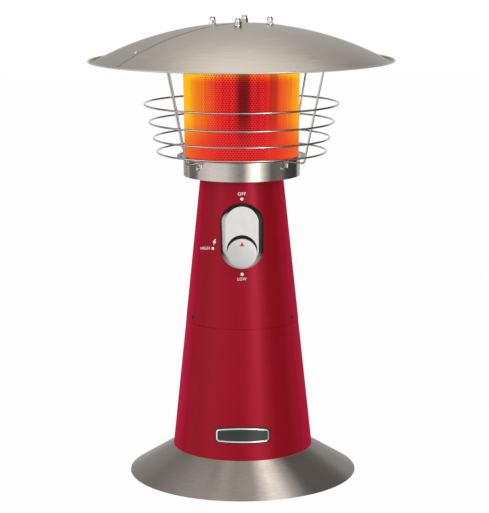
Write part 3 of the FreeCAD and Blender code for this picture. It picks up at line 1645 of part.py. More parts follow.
def make_guard_rings():
    """Rings welded outside the legs, and one hidden ring inside their tops."""
    lean_back = cosine(arc_tangent(s.leg_lean))
    standoff = (s.leg_wire / 2 + s.ring_wire / 2 + s.weld_gap) / lean_back
    heights = (s.ring_1_height, s.ring_2_height, s.ring_3_height, s.ring_4_height)
    for number, height in enumerate(heights, start=1):
        make_ring(f"guard_ring_{number}", leg_radius(height) + standoff, height)
    make_ring("guard_top_ring", leg_radius(s.top_ring_height) - standoff, s.top_ring_height)


def make_ring(name, radius, height):
    """One round wire ring."""
    ring = doc.addObject("Part::Torus", name.title().replace("_", ""))
    bind(ring, "Radius1", radius)
    bind(ring, "Radius2", s.ring_wire / 2)
    place(ring, z=height)
    return node(name, ring)


make_guard_legs()
make_guard_rings()


# Reflector

stud_angles = even_angles(s.stud_azimuth, s.stud_count)
panel_turn = s.seam_azimuth - QUARTER_TURN


def make_reflector_panel(name, label, turn):
    """Half of the dome, with a gutter and a turned-up lip, and a tab that slips under its neighbour."""
    sheet_thickness = s.dome_sheet
    gutter = dome_height(s.dome_edge_radius) - s.gutter_drop
    half = sheet_thickness / 2
    body = turned(label, [
        (0, dome_height(as_size(0))),
        Arc(0, dome_centre, False),
        (s.dome_edge_radius, Free(dome_height(s.dome_edge_radius))),
        (gutter_radius, gutter),
        (lip_radius - half, lip_height),
        (lip_radius, lip_height - half),
        (gutter_radius + half, gutter - sheet_thickness),
        (gutter_radius - half, gutter - sheet_thickness),
        (s.dome_edge_radius - half, dome_height(s.dome_edge_radius - half, sheet_thickness)),
        Arc(0, dome_centre, True),
        (0, Free(dome_centre + dome_inner_ball)),
    ], sweep=180)
    tab_ball = dome_inner_ball - sheet_thickness
    inner = s.tab_inner_radius
    outer = s.dome_edge_radius - s.tab_edge_gap
    turned(label + "Tab", [
        (inner, dome_height(inner, sheet_thickness)),
        Arc(0, dome_centre, False),
        (outer, Free(dome_height(outer, sheet_thickness))),
        (outer, dome_centre + root(tab_ball * tab_ball - outer * outer)),
        Arc(0, dome_centre, True),
        (inner, Free(dome_centre + root(tab_ball * tab_ball - inner * inner))),
    ], sweep=s.tab_angle * 2, midplane=True, body=body)
    place(body, turn=turn, axis=Vector(0, 0, 1))
    stud_hole = s.stud_radius + s.stud_clearance
    low = s.emitter_top
    stud_bar = bar(label + "StudBar", stud_hole, stud_top - low, y=-s.stud_circle, z=low)
    rivet = rivet_blank(label + "RivetBar", rivet_hole,
                        s.dome_radius - s.seam_rivet_drill_reach, s.dome_radius + s.seam_rivet_drill_reach)
    rivets = [seam_rivet_at(label + f"RivetHole{index}", rivet, azimuth)
              for index, azimuth in enumerate(seam_rivet_azimuths())]
    drilled = cut(label + "Drilled", body, copies(label + "StudHoles", stud_bar, stud_angles), *rivets)
    return node(name, drilled)


def seam_rivet_azimuths():
    """Azimuths of the two rivets, one by each seam."""
    first = s.seam_azimuth - s.seam_rivet_offset
    return [first, first + HALF_TURN]


def rivet_blank(name, radius, low, high):
    """A bar along the dome's own radius, before it is leant over."""
    return bar(name, radius, as_size(high) - as_size(low), z=as_size(low))


def seam_rivet_at(name, item, azimuth):
    """A copy of a piece leant over from the dome's centre to the rivet's place."""
    lean = Size(math.degrees(math.asin(s.seam_rivet_circle.number / s.dome_radius.number)),
                f"(asin({(s.seam_rivet_circle / s.dome_radius).text}) / 1deg)")
    direction = math.radians(azimuth.number)
    link = doc.addObject("App::Link", name)
    link.LinkedObject = item
    link.LinkTransform = True
    place(link, z=dome_centre, turn=lean, axis=Vector(math.cos(direction), math.sin(direction), 0))
    return link


def make_seam_rivets():
    """A rivet by each seam, through the sheet and the tab under it."""
    low = s.dome_radius - s.dome_sheet * 2
    high = s.dome_radius + s.hole_clearance / 2
    head = s.rivet_head_height
    body = turned("SeamRivet", [
        (0, low - head), (s.rivet_head_radius, low - head), (s.rivet_head_radius, low - s.hole_clearance),
        (s.rivet_radius, low - s.hole_clearance), (s.rivet_radius, high),
        (s.seam_rivet_head_radius, high), (s.seam_rivet_head_radius, high + head / 2),
        (s.rivet_radius, high + head), (0, high + head),
    ])
    links = [seam_rivet_at(f"SeamRivetCopy{index}", body, azimuth)
             for index, azimuth in enumerate(seam_rivet_azimuths())]
    group = doc.addObject("Part::Compound", "SeamRivets")
    group.Links = links
    return node("seam_rivets", group)


def make_reflector_fixings():
    """Studs up from the emitter's cap, spacers under the dome, and washers and acorn nuts on it."""
    cap_top = s.emitter_top + s.emitter_cap_sheet
    head_low = s.emitter_top - s.stud_head_height
    stud = turned("ReflectorStud", [
        (0, head_low), (s.stud_head_radius, head_low), (s.stud_head_radius, s.emitter_top),
        (s.stud_radius, s.emitter_top), (s.stud_radius, stud_top), (0, stud_top),
    ])
    bore = s.stud_radius + s.hole_clearance
    spacer_top = dome_height(s.stud_circle + s.spacer_radius, s.dome_sheet) - s.spacer_end_gap
    spacer = turned("ReflectorSpacer", [
        (bore, cap_top), (s.spacer_radius, cap_top), (s.spacer_radius, spacer_top), (bore, spacer_top),
    ])
    washer = turned("ReflectorWasher", [
        (bore, washer_low), (s.washer_radius, washer_low), (s.washer_radius, washer_top),
        (bore, washer_top),
    ])
    nut_top = washer_top + s.nut_height
    ball_centre = nut_top - s.nut_dome_radius
    crown = turned("AcornCrown", [
        (0, washer_top), (s.nut_dome_radius, washer_top), (s.nut_dome_radius, ball_centre),
        Arc(0, ball_centre), (0, Free(nut_top)),
    ])
    hexagon = doc.addObject("Part::Prism", "AcornHexagon")
    hexagon.Polygon = 6
    bind(hexagon, "Circumradius", s.nut_across_flats / (cosine(as_size(30.0)) * 2))
    bind(hexagon, "Height", s.nut_hex_height)
    place(hexagon, z=washer_top)
    nut_bore = bar("AcornBore", bore, s.nut_bore_depth, z=washer_top)
    nut = cut("AcornNut", fuse("AcornBlank", crown, hexagon), nut_bore)
    for name, label, item in (("reflector_studs", "ReflectorStuds", stud),
                              ("reflector_spacers", "ReflectorSpacers", spacer),
                              ("reflector_washers", "ReflectorWashers", washer),
                              ("acorn_nuts", "AcornNuts", nut)):
        place(item, y=-s.stud_circle)
        carrier = doc.addObject("Part::Compound", label + "Carrier")
        carrier.Links = [item]
        node(name, copies(label, carrier, stud_angles))


make_reflector_panel("reflector_panel_right", "ReflectorRight", panel_turn)
make_reflector_panel("reflector_panel_left", "ReflectorLeft", panel_turn + HALF_TURN)
make_seam_rivets()
make_reflector_fixings()


# Ignition and safety

def probe_spot(side):
    """Place of a probe beside the burner: +1 on the right, -1 on the left."""
    azimuth = s.electrode_azimuth
    return s.probe_circle * sine(azimuth) * side, -(s.probe_circle * cosine(azimuth))


def make_ignition():
    """The insulated electrode beside the burner, its lead, and the piezo igniter on the bracket."""
    x, y = probe_spot(1)
    shoulder_top = pan_floor + s.insulator_shoulder_height
    wire_hole = s.electrode_wire_radius + s.hole_clearance
    insulator = turned("ElectrodeInsulator", [
        (wire_hole, s.insulator_bottom), (s.insulator_radius, s.insulator_bottom),
        (s.insulator_radius, pan_floor), (s.insulator_shoulder_radius, pan_floor),
        (s.insulator_shoulder_radius, shoulder_top), (s.insulator_radius, shoulder_top),
        (s.insulator_radius, s.insulator_top), (wire_hole, s.insulator_top),
    ])
    place(insulator, x=x, y=y)
    node("electrode_insulator", insulator)
    inward = s.electrode_reach / s.probe_circle
    wire_points = [(x, y, s.insulator_bottom), (x, y, s.electrode_tip),
                   (x - x * inward, y - y * inward, s.electrode_tip - s.electrode_bend)]
    node("spark_electrode", tube_along("SparkElectrode", s.electrode_wire_radius, wire_points,
                                       s.electrode_bend))
    height = s.igniter_height
    node("piezo_igniter", bar("PiezoIgniter", s.igniter_radius, s.valve_front - s.igniter_back,
                              x=s.igniter_across, y=-s.igniter_back, z=height, facing="front"))
    rise = s.insulator_bottom - height
    lead_points = [
        (s.igniter_across, -s.igniter_back, height),
        (s.igniter_across, s.igniter_back, height),
        (s.igniter_across, s.igniter_back, height + rise * s.lead_straight_share),
        (x, y, height + rise * s.lead_slant_share),
        (x, y, s.insulator_bottom),
    ]
    node("ignition_lead", tube_along("IgnitionLead", s.lead_radius, lead_points, s.lead_bend))


def make_thermocouple():
    """The flame sensor on the left of the burner, with its tube down to the valve's side."""
    x, y = probe_spot(-1)
    shoulder_top = pan_floor + s.insulator_shoulder_height
    tip = turned("ThermocoupleTip", [
        (0, s.insulator_bottom), (s.thermocouple_radius, s.insulator_bottom),
        (s.thermocouple_radius, pan_floor), (s.insulator_shoulder_radius, pan_floor),
        (s.insulator_shoulder_radius, shoulder_top), (s.thermocouple_radius, shoulder_top),
        (s.thermocouple_radius, s.thermocouple_top), (0, s.thermocouple_top),
    ])
    place(tip, x=x, y=y)
    half_width = s.valve_width / 2
    drop = s.insulator_bottom - s.knob_height
    points = [
        (-half_width, -s.valve_port_out, s.knob_height),
        (x, -s.valve_port_out, s.knob_height),
        (x, -s.valve_port_out, s.knob_height + drop * s.lead_straight_share),
        (x, y, s.knob_height + drop * s.thermocouple_slant_share),
        (x, y, s.insulator_bottom),
    ]
    lead = tube_along("ThermocoupleLead", s.lead_radius, points, s.lead_bend)
    node("thermocouple", fuse("Thermocouple", tip, lead))


def make_tilt_switch():
    """A pendulum between two cheeks on the bracket, which cuts the flame if the heater tips."""
    low = s.bracket_top
    floor = low + s.tilt_wall
    outer = s.tilt_across - s.tilt_half_width
    inner = s.tilt_across + s.tilt_half_width
    depth = s.tilt_half_depth
    frame = fuse("TiltSwitchFrame", *[
        block("TiltFloor", (outer, -depth, low), (inner, depth, floor)),
        block("TiltOuterCheek", (outer, -depth, floor), (outer + s.tilt_wall, depth, s.tilt_cheek_top)),
        block("TiltInnerCheek", (inner - s.tilt_wall, -depth, floor), (inner, depth, s.tilt_cheek_top)),
        bar("TiltPin", s.tilt_pin_radius, s.tilt_half_width * 2, x=outer, z=s.tilt_pivot_height,
            facing="right"),
    ])
    node("tilt_switch_frame", frame)
    hub = bar("TiltHub", s.tilt_hub_radius, s.tilt_hub_half_width * 2,
              x=s.tilt_across - s.tilt_hub_half_width, z=s.tilt_pivot_height, facing="right")
    rod = bar("TiltRod", s.tilt_rod_radius, s.tilt_arm, x=s.tilt_across,
              z=s.tilt_pivot_height - s.tilt_arm)
    bob = bar("TiltBob", s.tilt_bob_radius, s.tilt_bob_half_width * 2,
              x=s.tilt_across - s.tilt_bob_half_width, z=s.tilt_pivot_height - s.tilt_arm,
              facing="right")
    bore = bar("TiltBore", s.tilt_pin_radius + s.tilt_pin_clearance, s.tilt_half_width * 2, x=outer,
               z=s.tilt_pivot_height, facing="right")
    node("tilt_pendulum", cut("TiltPendulum", fuse("TiltPendulumBlank", hub, rod, bob), bore))


make_ignition()
make_thermocouple()
make_tilt_switch()


# Check everything, then write it

doc.recompute()
problems = []
for item in doc.Objects:
    if "Invalid" in item.State or "Error" in item.State:
        problems.append(f"{item.Name}: {item.State}")
for name, item in nodes.items():
    shape = Part.getShape(item)
    if shape.isNull() or not shape.isValid() or not shape.Solids:
        problems.append(f"{name}: bad shape")
if problems:
    raise SystemExit("not written:\n" + "\n".join(problems))

print(f"{len(nodes)} nodes")
for name, item in nodes.items():
    shape = Part.getShape(item)
    box = shape.BoundBox
    print(f"{name}: {len(shape.Solids)} solids, {shape.Volume:.1f} mm3, "
          f"z {box.ZMin:.2f} to {box.ZMax:.2f}, widths {box.XLength:.2f} by {box.YLength:.2f}")
    shape.exportStep(f"parts/{name}.step")
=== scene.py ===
import math

import bmesh
import bpy
import numpy as np
from mathutils import Matrix, Vector


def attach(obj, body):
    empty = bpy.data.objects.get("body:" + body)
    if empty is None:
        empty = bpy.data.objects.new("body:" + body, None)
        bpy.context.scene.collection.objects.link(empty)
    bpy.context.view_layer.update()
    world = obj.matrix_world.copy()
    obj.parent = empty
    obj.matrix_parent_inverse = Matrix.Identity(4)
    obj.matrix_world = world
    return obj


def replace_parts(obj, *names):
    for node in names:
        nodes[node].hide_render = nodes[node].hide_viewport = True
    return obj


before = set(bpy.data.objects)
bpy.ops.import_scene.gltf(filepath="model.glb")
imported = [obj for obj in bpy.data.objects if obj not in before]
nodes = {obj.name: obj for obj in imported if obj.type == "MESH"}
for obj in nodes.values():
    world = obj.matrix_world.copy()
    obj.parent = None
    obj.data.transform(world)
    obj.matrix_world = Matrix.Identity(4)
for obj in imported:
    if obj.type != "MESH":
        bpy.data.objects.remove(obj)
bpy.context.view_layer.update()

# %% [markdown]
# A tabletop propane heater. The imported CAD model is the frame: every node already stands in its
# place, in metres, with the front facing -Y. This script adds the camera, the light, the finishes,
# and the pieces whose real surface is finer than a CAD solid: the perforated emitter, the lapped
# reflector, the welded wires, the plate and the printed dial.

scene = bpy.context.scene
MM = 0.001

# %% [markdown]
# The photograph was taken from a little above, with a long lens, from about 2.4 metres away. The
# tilt, the distance and the lens come from measuring the foot, the collar and the reflector, whose
# circles show as ellipses of different heights.

# %% The camera
CAMERA_DISTANCE = 2.3672
CAMERA_HEIGHT = 0.7229
CAMERA_TILT = 10.514
CAMERA_ROLL = -0.195
LENS = 130.5

camera_data = bpy.data.cameras.new("camera")
camera_data.lens = LENS
camera_data.sensor_width = 36.0
camera_data.shift_x = 0.0048
camera_data.clip_end = 50.0
camera = bpy.data.objects.new("camera", camera_data)
scene.collection.objects.link(camera)
nod = Matrix.Rotation(math.radians(90.0 - CAMERA_TILT), 4, "X")
roll = Matrix.Rotation(math.radians(CAMERA_ROLL), 4, "Z")
camera.matrix_world = Matrix.Translation((0.0, -CAMERA_DISTANCE, CAMERA_HEIGHT)) @ nod @ roll
scene.camera = camera
scene.view_settings.view_transform = "Standard"
print("camera at", tuple(round(value, 3) for value in camera.matrix_world.translation))

# %% [markdown]
# Shader trees are easier to read when a node and its wires are made in one line. `add` makes a
# node, sets its properties, and fills its inputs: a plain value goes on the socket, and a socket
# of another node is joined to it. The helpers after it each give out the socket of one result.

# %% Helpers for shader trees
BLACK = (0.0, 0.0, 0.0)
WHITE = (1.0, 1.0, 1.0)


def fill(tree, node, inputs):
    """Set or join the named inputs of a node; a colour is given as three numbers."""
    for key, value in inputs.items():
        socket = node.inputs[key]
        if isinstance(value, bpy.types.NodeSocket):
            tree.links.new(value, socket)
        else:
            socket.default_value = (*value, 1.0) if socket.type == "RGBA" else value


def add(tree, kind, inputs=None, **settings):
    """A node of a kind, with its settings and its inputs."""
    node = tree.nodes.new(kind)
    for key, value in settings.items():
        setattr(node, key, value)
    fill(tree, node, inputs or {})
    return node


def calculate(tree, operation, *values):
    """The result of one arithmetic node."""
    return add(tree, "ShaderNodeMath", dict(enumerate(values)), operation=operation).outputs[0]


def product(tree, first, *others):
    """Values multiplied, one after the other."""
    for value in others:
        first = calculate(tree, "MULTIPLY", first, value)
    return first


def spread(tree, value, low, high, to_low=0.0, to_high=1.0, smooth=False):
    """A value carried from one range to another, and held at its ends."""
    style = "SMOOTHSTEP" if smooth else "LINEAR"
    inputs = {0: value, 1: low, 2: high, 3: to_low, 4: to_high}
    return add(tree, "ShaderNodeMapRange", inputs, interpolation_type=style).outputs[0]


def between(tree, share, first, second):
    """A number that lies a share of the way from the first to the second."""
    return add(tree, "ShaderNodeMix", {0: share, 2: first, 3: second}, data_type="FLOAT").outputs[0]


def mix(tree, share, first, second, blend="MIX"):
    """A colour that lies a share of the way from the first to the second, or to their product."""
    inputs = {0: share, 6: first, 7: second}
    return add(tree, "ShaderNodeMix", inputs, data_type="RGBA", blend_type=blend).outputs[2]


def noise(tree, vector, scale, detail=2.0):
    """Cloudy noise from 0 to 1 at a place."""
    inputs = {"Vector": vector, "Scale": scale, "Detail": detail}
    return add(tree, "ShaderNodeTexNoise", inputs).outputs["Fac"]


def ramp(tree, value, stops):
    """A colour ramp with its stops as (place, colour)."""
    node = add(tree, "ShaderNodeValToRGB", {"Fac": value})
    elements = node.color_ramp.elements
    while len(elements) < len(stops):
        elements.new(0.5)
    for element, (place, colour) in zip(elements, stops):
        element.position = place
        element.color = (*colour, 1.0)
    return node.outputs["Color"]


def levels(tree, value, stops):
    """A ramp of plain grey levels, with its stops as (place, level)."""
    return ramp(tree, value, [(place, (level, level, level)) for place, level in stops])


def own_place(tree):
    """The point in the piece's own coordinates."""
    return add(tree, "ShaderNodeTexCoord").outputs["Object"]


def own_axes(tree):
    """The three numbers of the point in the piece's own coordinates."""
    return add(tree, "ShaderNodeSeparateXYZ", {0: own_place(tree)}).outputs


# %% [markdown]
# A material starts as a cleared tree with one Principled shader. A few finishes get a local effect
# later on, so `reopen` gives the shader again, with the colour that feeds it by then. Colours are
# given as screen colours, and the shader mixes linear light, so `linear` turns one into the other.

# %% Helpers for materials


def linear(red, green, blue):
    """A screen colour from 0 to 255 as linear light: the standard screen curve undone."""
    value = np.array([red, green, blue]) / 255.0
    light = np.where(value <= 0.04045, value / 12.92, ((value + 0.055) / 1.055) ** 2.4)
    return tuple(float(part) for part in light)


def empty_tree(owner):
    """The cleared shader tree of a material or a world."""
    owner.use_nodes = True
    owner.node_tree.nodes.clear()
    return owner.node_tree


def new_material(name):
    """An empty material and its tree, with a Principled shader joined to the output."""
    material = bpy.data.materials.new(name)
    tree = empty_tree(material)
    shader = add(tree, "ShaderNodeBsdfPrincipled")
    add(tree, "ShaderNodeOutputMaterial", {"Surface": shader.outputs[0]})
    print("finish", name)
    return material, tree, shader


def reopen(material):
    """A finished material's tree and shader, and the colour that feeds the shader."""
    tree = material.node_tree
    shader = next(node for node in tree.nodes if node.type == "BSDF_PRINCIPLED")
    return tree, shader, shader.inputs["Base Color"].links[0].from_socket


# %% [markdown]
# The studio is a ring of light and dark round the heater, as a photographer builds one from
# panels and black cloth. Steel and satin paint show that ring as upright bands: a bright narrow
# one a little right of the middle, a broad soft one on the left, and dark ones near the edges. The
# ring is a ramp over the direction's azimuth. A gap in the middle is the camera's own dark shape,
# which only shows low down. Overhead hangs a soft ceiling that is darker on the right. Behind the
# heater stands a white backdrop, which the camera, metal and glass all see.

# %% The studio's ring of light
STUDIO = (
    (0.000, 0.56), (0.100, 0.40), (0.122, 0.28), (0.130, 0.60), (0.142, 0.60), (0.152, 0.20),
    (0.215, 0.18), (0.245, 0.76), (0.330, 0.92), (0.415, 0.92), (0.455, 0.50), (0.485, 0.22),
    (0.512, 0.22), (0.532, 1.02), (0.550, 1.66), (0.592, 1.68), (0.628, 0.70), (0.665, 0.16),
    (0.735, 0.24), (0.775, 0.08), (0.882, 0.05), (0.894, 0.54), (1.000, 0.58),
)
MIDDLE_FILL = ((0.430, 0.0), (0.470, 0.46), (0.515, 0.66), (0.540, 0.0))
CEILING = (
    (0.15, 0.25), (0.25, 0.30), (0.33, 0.62), (0.50, 0.70), (0.60, 0.56), (0.66, 0.44),
    (0.725, 0.24), (0.78, 0.08), (1.00, 0.06),
)

world = bpy.data.worlds.new("studio")
scene.world = world
tree = empty_tree(world)
whole_sky = add(tree, "ShaderNodeTexCoord").outputs["Generated"]
direction = add(tree, "ShaderNodeSeparateXYZ", {0: whole_sky}).outputs
sideways, height = direction["X"], direction["Z"]
azimuth = calculate(tree, "ARCTAN2", sideways, calculate(tree, "MULTIPLY", direction["Y"], -1.0))
round_about = spread(tree, azimuth, -math.pi, math.pi)
above = spread(tree, height, -0.13, -0.02, smooth=True)
middle = product(tree, above, levels(tree, round_about, MIDDLE_FILL))
ring = calculate(tree, "ADD", levels(tree, round_about, STUDIO), middle)
ring = product(tree, ring, spread(tree, height, -0.62, -0.30, 0.16, 1.0, smooth=True))
crown = product(tree, spread(tree, height, 0.70, 0.93, 0.0, 0.42, smooth=True),
                spread(tree, calculate(tree, "ABSOLUTE", sideways), 0.10, 0.40, 1.0, 0.0))
ceiling = calculate(tree, "ADD", levels(tree, spread(tree, sideways, -1.0, 1.0), CEILING), crown)
panels = between(tree, spread(tree, height, 0.22, 0.55, smooth=True), ring, ceiling)
print("world ring of", len(STUDIO), "stops")

# %% [markdown]
# The camera sees plain white instead of the ring, and so does a ray through glass. Metal sees the
# white only straight behind the heater and low down, where the real backdrop stood.

# %% The white backdrop
studio = add(tree, "ShaderNodeBackground", {"Color": panels, "Strength": 1.0})
white = add(tree, "ShaderNodeBackground", {"Color": WHITE, "Strength": 1.0})
path = add(tree, "ShaderNodeLightPath").outputs
backdrop = product(tree, spread(tree, height, 0.04, 0.10, 1.0, 0.0), spread(tree, direction["Y"], 0.95, 0.98))
seen_in_metal = product(tree, path["Is Glossy Ray"], backdrop)
seen = calculate(tree, "MAXIMUM", path["Is Camera Ray"], seen_in_metal)
seen = calculate(tree, "MAXIMUM", seen, path["Is Transmission Ray"])
mixed = add(tree, "ShaderNodeMixShader", {0: seen, 1: studio.outputs[0], 2: white.outputs[0]})
add(tree, "ShaderNodeOutputWorld", {"Surface": mixed.outputs[0]})
print("world nodes", len(tree.nodes))

# %% [markdown]
# Lamps give the ring its shape on the object: a tall strip on the right of the camera, a wide
# panel on the left, and a soft sheet overhead. Each is an area lamp that faces the heater's
# middle.

# %% Lamps
MIDDLE = Vector((0.0, 0.0, 0.30))


def softbox(name, azimuth, elevation, distance, wide, tall, radiance):
    """A rectangular lamp at an azimuth from the front and an elevation, facing the middle."""
    lamp = bpy.data.lights.new(name, "AREA")
    lamp.shape = "RECTANGLE"
    lamp.size = wide
    lamp.size_y = tall
    lamp.energy = radiance * math.pi * wide * tall
    holder = bpy.data.objects.new(name, lamp)
    scene.collection.objects.link(holder)
    side = math.radians(azimuth)
    up = math.radians(elevation)
    away = Vector((math.sin(side) * math.cos(up), -math.cos(side) * math.cos(up), math.sin(up)))
    holder.location = MIDDLE + away * distance
    holder.rotation_euler = away.to_track_quat("Z", "Y").to_euler()
    print("lamp", name, round(lamp.energy, 3), "watts")


softbox("strip_right", 28.0, 19.0, 2.2, 0.36, 1.9, 2.7)
softbox("panel_left", -62.0, 18.0, 2.4, 1.2, 1.5, 0.40)
softbox("sheet_overhead", 170.0, 66.0, 2.2, 1.6, 1.0, 0.55)

# %% [markdown]
# The floor is a pale sheet that stays nearly white to the camera and keeps a faint shadow. Metal
# looks through it to the ring, because the real sheet is small and the ring goes on below it.

# %% Floor
FLOOR_HALF = 6.0
FLOOR_GLOW = 0.985

floor_mesh = bpy.data.meshes.new("floor")
floor_corners = [(x * FLOOR_HALF, y * FLOOR_HALF, 0.0) for x, y in ((-1, -1), (1, -1), (1, 1), (-1, 1))]
floor_mesh.from_pydata(floor_corners, [], [(0, 1, 2, 3)])
floor = bpy.data.objects.new("floor", floor_mesh)
scene.collection.objects.link(floor)
floor_paint = bpy.data.materials.new("floor_paint")
tree = empty_tree(floor_paint)
path = add(tree, "ShaderNodeLightPath").outputs
seen = calculate(tree, "MAXIMUM", path["Is Camera Ray"], path["Is Transmission Ray"])
matt = add(tree, "ShaderNodeBsdfDiffuse", {"Color": (0.80, 0.80, 0.80)})
glow = add(tree, "ShaderNodeEmission", {"Color": WHITE, "Strength": 1.0})
clear = add(tree, "ShaderNodeBsdfTransparent", {"Color": WHITE})
shares = {0: product(tree, seen, FLOOR_GLOW), 1: matt.outputs[0], 2: glow.outputs[0]}
sheet = add(tree, "ShaderNodeMixShader", shares)
shares = {0: path["Is Glossy Ray"], 1: sheet.outputs[0], 2: clear.outputs[0]}
sheet_or_clear = add(tree, "ShaderNodeMixShader", shares)
add(tree, "ShaderNodeOutputMaterial", {"Surface": sheet_or_clear.outputs[0]})
floor_mesh.materials.append(floor_paint)
print("floor", 2.0 * FLOOR_HALF, "metres wide")

# %% [markdown]
# The heater is turned work: the foot, the collar, the emitter and the reflector all stand round
# one axis. Their finishes change with the distance from that axis and with the angle round it, so
# the first shared effect is a node group that gives out both. It works from Object coordinates.

# %% Shared effect: place round the axis
LEAST_RADIUS = 0.1 * MM


def new_group(name, takes, gives):
    """A node group of number sockets, with the sockets of its entry and its last node."""
    group = bpy.data.node_groups.new(name, "ShaderNodeTree")
    for title in takes:
        group.interface.new_socket(title, in_out="INPUT", socket_type="NodeSocketFloat")
    for title in gives:
        group.interface.new_socket(title, in_out="OUTPUT", socket_type="NodeSocketFloat")
    print("effect", name, "gives", ", ".join(gives))
    return group, group.nodes.new("NodeGroupInput").outputs, group.nodes.new("NodeGroupOutput")


def effect(tree, group, **inputs):
    """A shared effect placed in a tree, as its outputs."""
    return add(tree, "ShaderNodeGroup", inputs, node_tree=group).outputs


def around_axis_group():
    """Radius is the root of x squared plus y squared; azimuth is the arctangent of x over minus y."""
    group, _, leave = new_group("around_axis", (), ("X", "Y", "Z", "Radius", "Azimuth"))
    axes = own_axes(group)
    x, y = axes["X"], axes["Y"]
    square = calculate(group, "ADD", product(group, x, x), product(group, y, y))
    radius = calculate(group, "MAXIMUM", calculate(group, "SQRT", square), LEAST_RADIUS)
    azimuth = calculate(group, "ARCTAN2", x, product(group, y, -1.0))
    fill(group, leave, {"X": x, "Y": y, "Z": axes["Z"], "Radius": radius, "Azimuth": azimuth})
    return group


around_axis = around_axis_group()

# %% [markdown]
# Spun steel is brushed as it turns, so its scratches run round the axis. The pattern is noise that
# changes quickly with radius and height and slowly round the circle. The direction from the axis
# stands for the angle, because it has no seam at the back.

# %% Shared effect: grain that runs round the axis


def grain_round_group():
    """Noise at x and y over the radius, times a length, and radius plus height, times a fineness."""
    group, entry, leave = new_group("grain_round", ("Fineness", "Length"), ("Grain",))
    place = effect(group, around_axis)
    radius = place["Radius"]
    where = add(group, "ShaderNodeCombineXYZ", {
        "X": product(group, calculate(group, "DIVIDE", place["X"], radius), entry["Length"]),
        "Y": product(group, calculate(group, "DIVIDE", place["Y"], radius), entry["Length"]),
        "Z": product(group, calculate(group, "ADD", radius, place["Z"]), entry["Fineness"]),
    })
    fill(group, leave, {"Grain": noise(group, where.outputs[0], 1.0, 3.0)})
    return group


grain_round = grain_round_group()

# %% [markdown]
# Every handled surface carries faint cloudy marks that change its roughness more than its colour.
# That is the third shared effect: soft noise at a size given by the material.

# %% Shared effect: handling marks


def handling_group():
    """Soft noise over the piece's place, as a value from 0 to 1."""
    group, entry, leave = new_group("handling", ("Size",), ("Marks",))
    cloudy = noise(group, own_place(group), entry["Size"], 4.0)
    fill(group, leave, {"Marks": spread(group, cloudy, 0.3, 0.7)})
    return group


handling = handling_group()

# %% [markdown]
# All bare metals share one recipe: a Principled shader at full metallic, whose colour and
# roughness move a little with the handling marks. Steel that was brushed as it turned also has the
# grain in its colour, its roughness and a very fine bump, and an anisotropic highlight. That
# highlight stretches across the scratches, so the tangent that runs round the axis is given a
# quarter turn. It makes the upright bands on the collar.

# %% Bare metals
QUARTER_TURN = 0.25
BRUSHING_DEPTH = 0.2 * MM


def bare_metal(name, colour, rough, marks, fineness=0.0, length=0.0, relief=0.0, stretch=0.0):
    """A metal finish; fineness is grain lines per metre, and stretch is the highlight's."""
    material, tree, shader = new_material(name)
    worn = effect(tree, handling, Size=marks)["Marks"]
    shade = spread(tree, worn, 0.0, 1.0, 0.94, 1.0)
    roughness = spread(tree, worn, 0.0, 1.0, rough, rough + 0.06)
    if fineness:
        grain = effect(tree, grain_round, Fineness=fineness, Length=length)["Grain"]
        shade = product(tree, shade, spread(tree, grain, 0.3, 0.7, 0.86, 1.04))
        roughness = calculate(tree, "ADD", roughness, spread(tree, grain, 0.3, 0.7, -0.04, 0.06))
        relief = {"Strength": relief, "Distance": BRUSHING_DEPTH, "Height": grain}
        fill(tree, shader, {
            "Normal": add(tree, "ShaderNodeBump", relief).outputs[0],
            "Tangent": add(tree, "ShaderNodeTangent", direction_type="RADIAL", axis="Z").outputs[0],
            "Anisotropic": stretch,
            "Anisotropic Rotation": QUARTER_TURN,
        })
    tinted = mix(tree, 1.0, colour, shade, "MULTIPLY")
    fill(tree, shader, {"Base Color": tinted, "Metallic": 1.0, "Roughness": roughness})
    return material


foot_steel = bare_metal("foot_steel", (0.575, 0.51, 0.455), 0.36, 25.0, 2600.0, 10.0, 0.05, 0.95)
collar_steel = bare_metal("collar_steel", (0.68, 0.62, 0.56), 0.15, 40.0, 3200.0, 8.0, 0.04, 0.60)
dome_steel = bare_metal("dome_steel", (0.57, 0.508, 0.435), 0.30, 18.0, 1500.0, 5.0, 0.03, 0.20)
wire_steel = bare_metal("wire_steel", (0.86, 0.84, 0.82), 0.14, 300.0)
bright_steel = bare_metal("bright_steel", (0.90, 0.87, 0.83), 0.14, 300.0)
chrome = bare_metal("chrome", (0.92, 0.91, 0.88), 0.06, 90.0)
satin_chrome = bare_metal("satin_chrome", (0.94, 0.93, 0.92), 0.22, 90.0)
zinc_steel = bare_metal("zinc_steel", (0.56, 0.57, 0.59), 0.38, 140.0)
cast_zinc = bare_metal("cast_zinc", (0.50, 0.50, 0.51), 0.50, 260.0)
brass = bare_metal("brass", (0.72, 0.52, 0.22), 0.28, 160.0)
heated_steel = bare_metal("heated_steel", (0.34, 0.27, 0.22), 0.42, 120.0)

# %% [markdown]
# Paint, plastic, rubber and ceramic share a second recipe, because their gloss works in the same
# way: a plain colour under a clear skin. Fine noise gives the spray's orange peel or the mould's
# unevenness. The housing is sprayed with a satin red, and its lacquer gets more in the next step.

# %% Paint, plastic and rubber
SKIN_DEPTH = 0.3 * MM


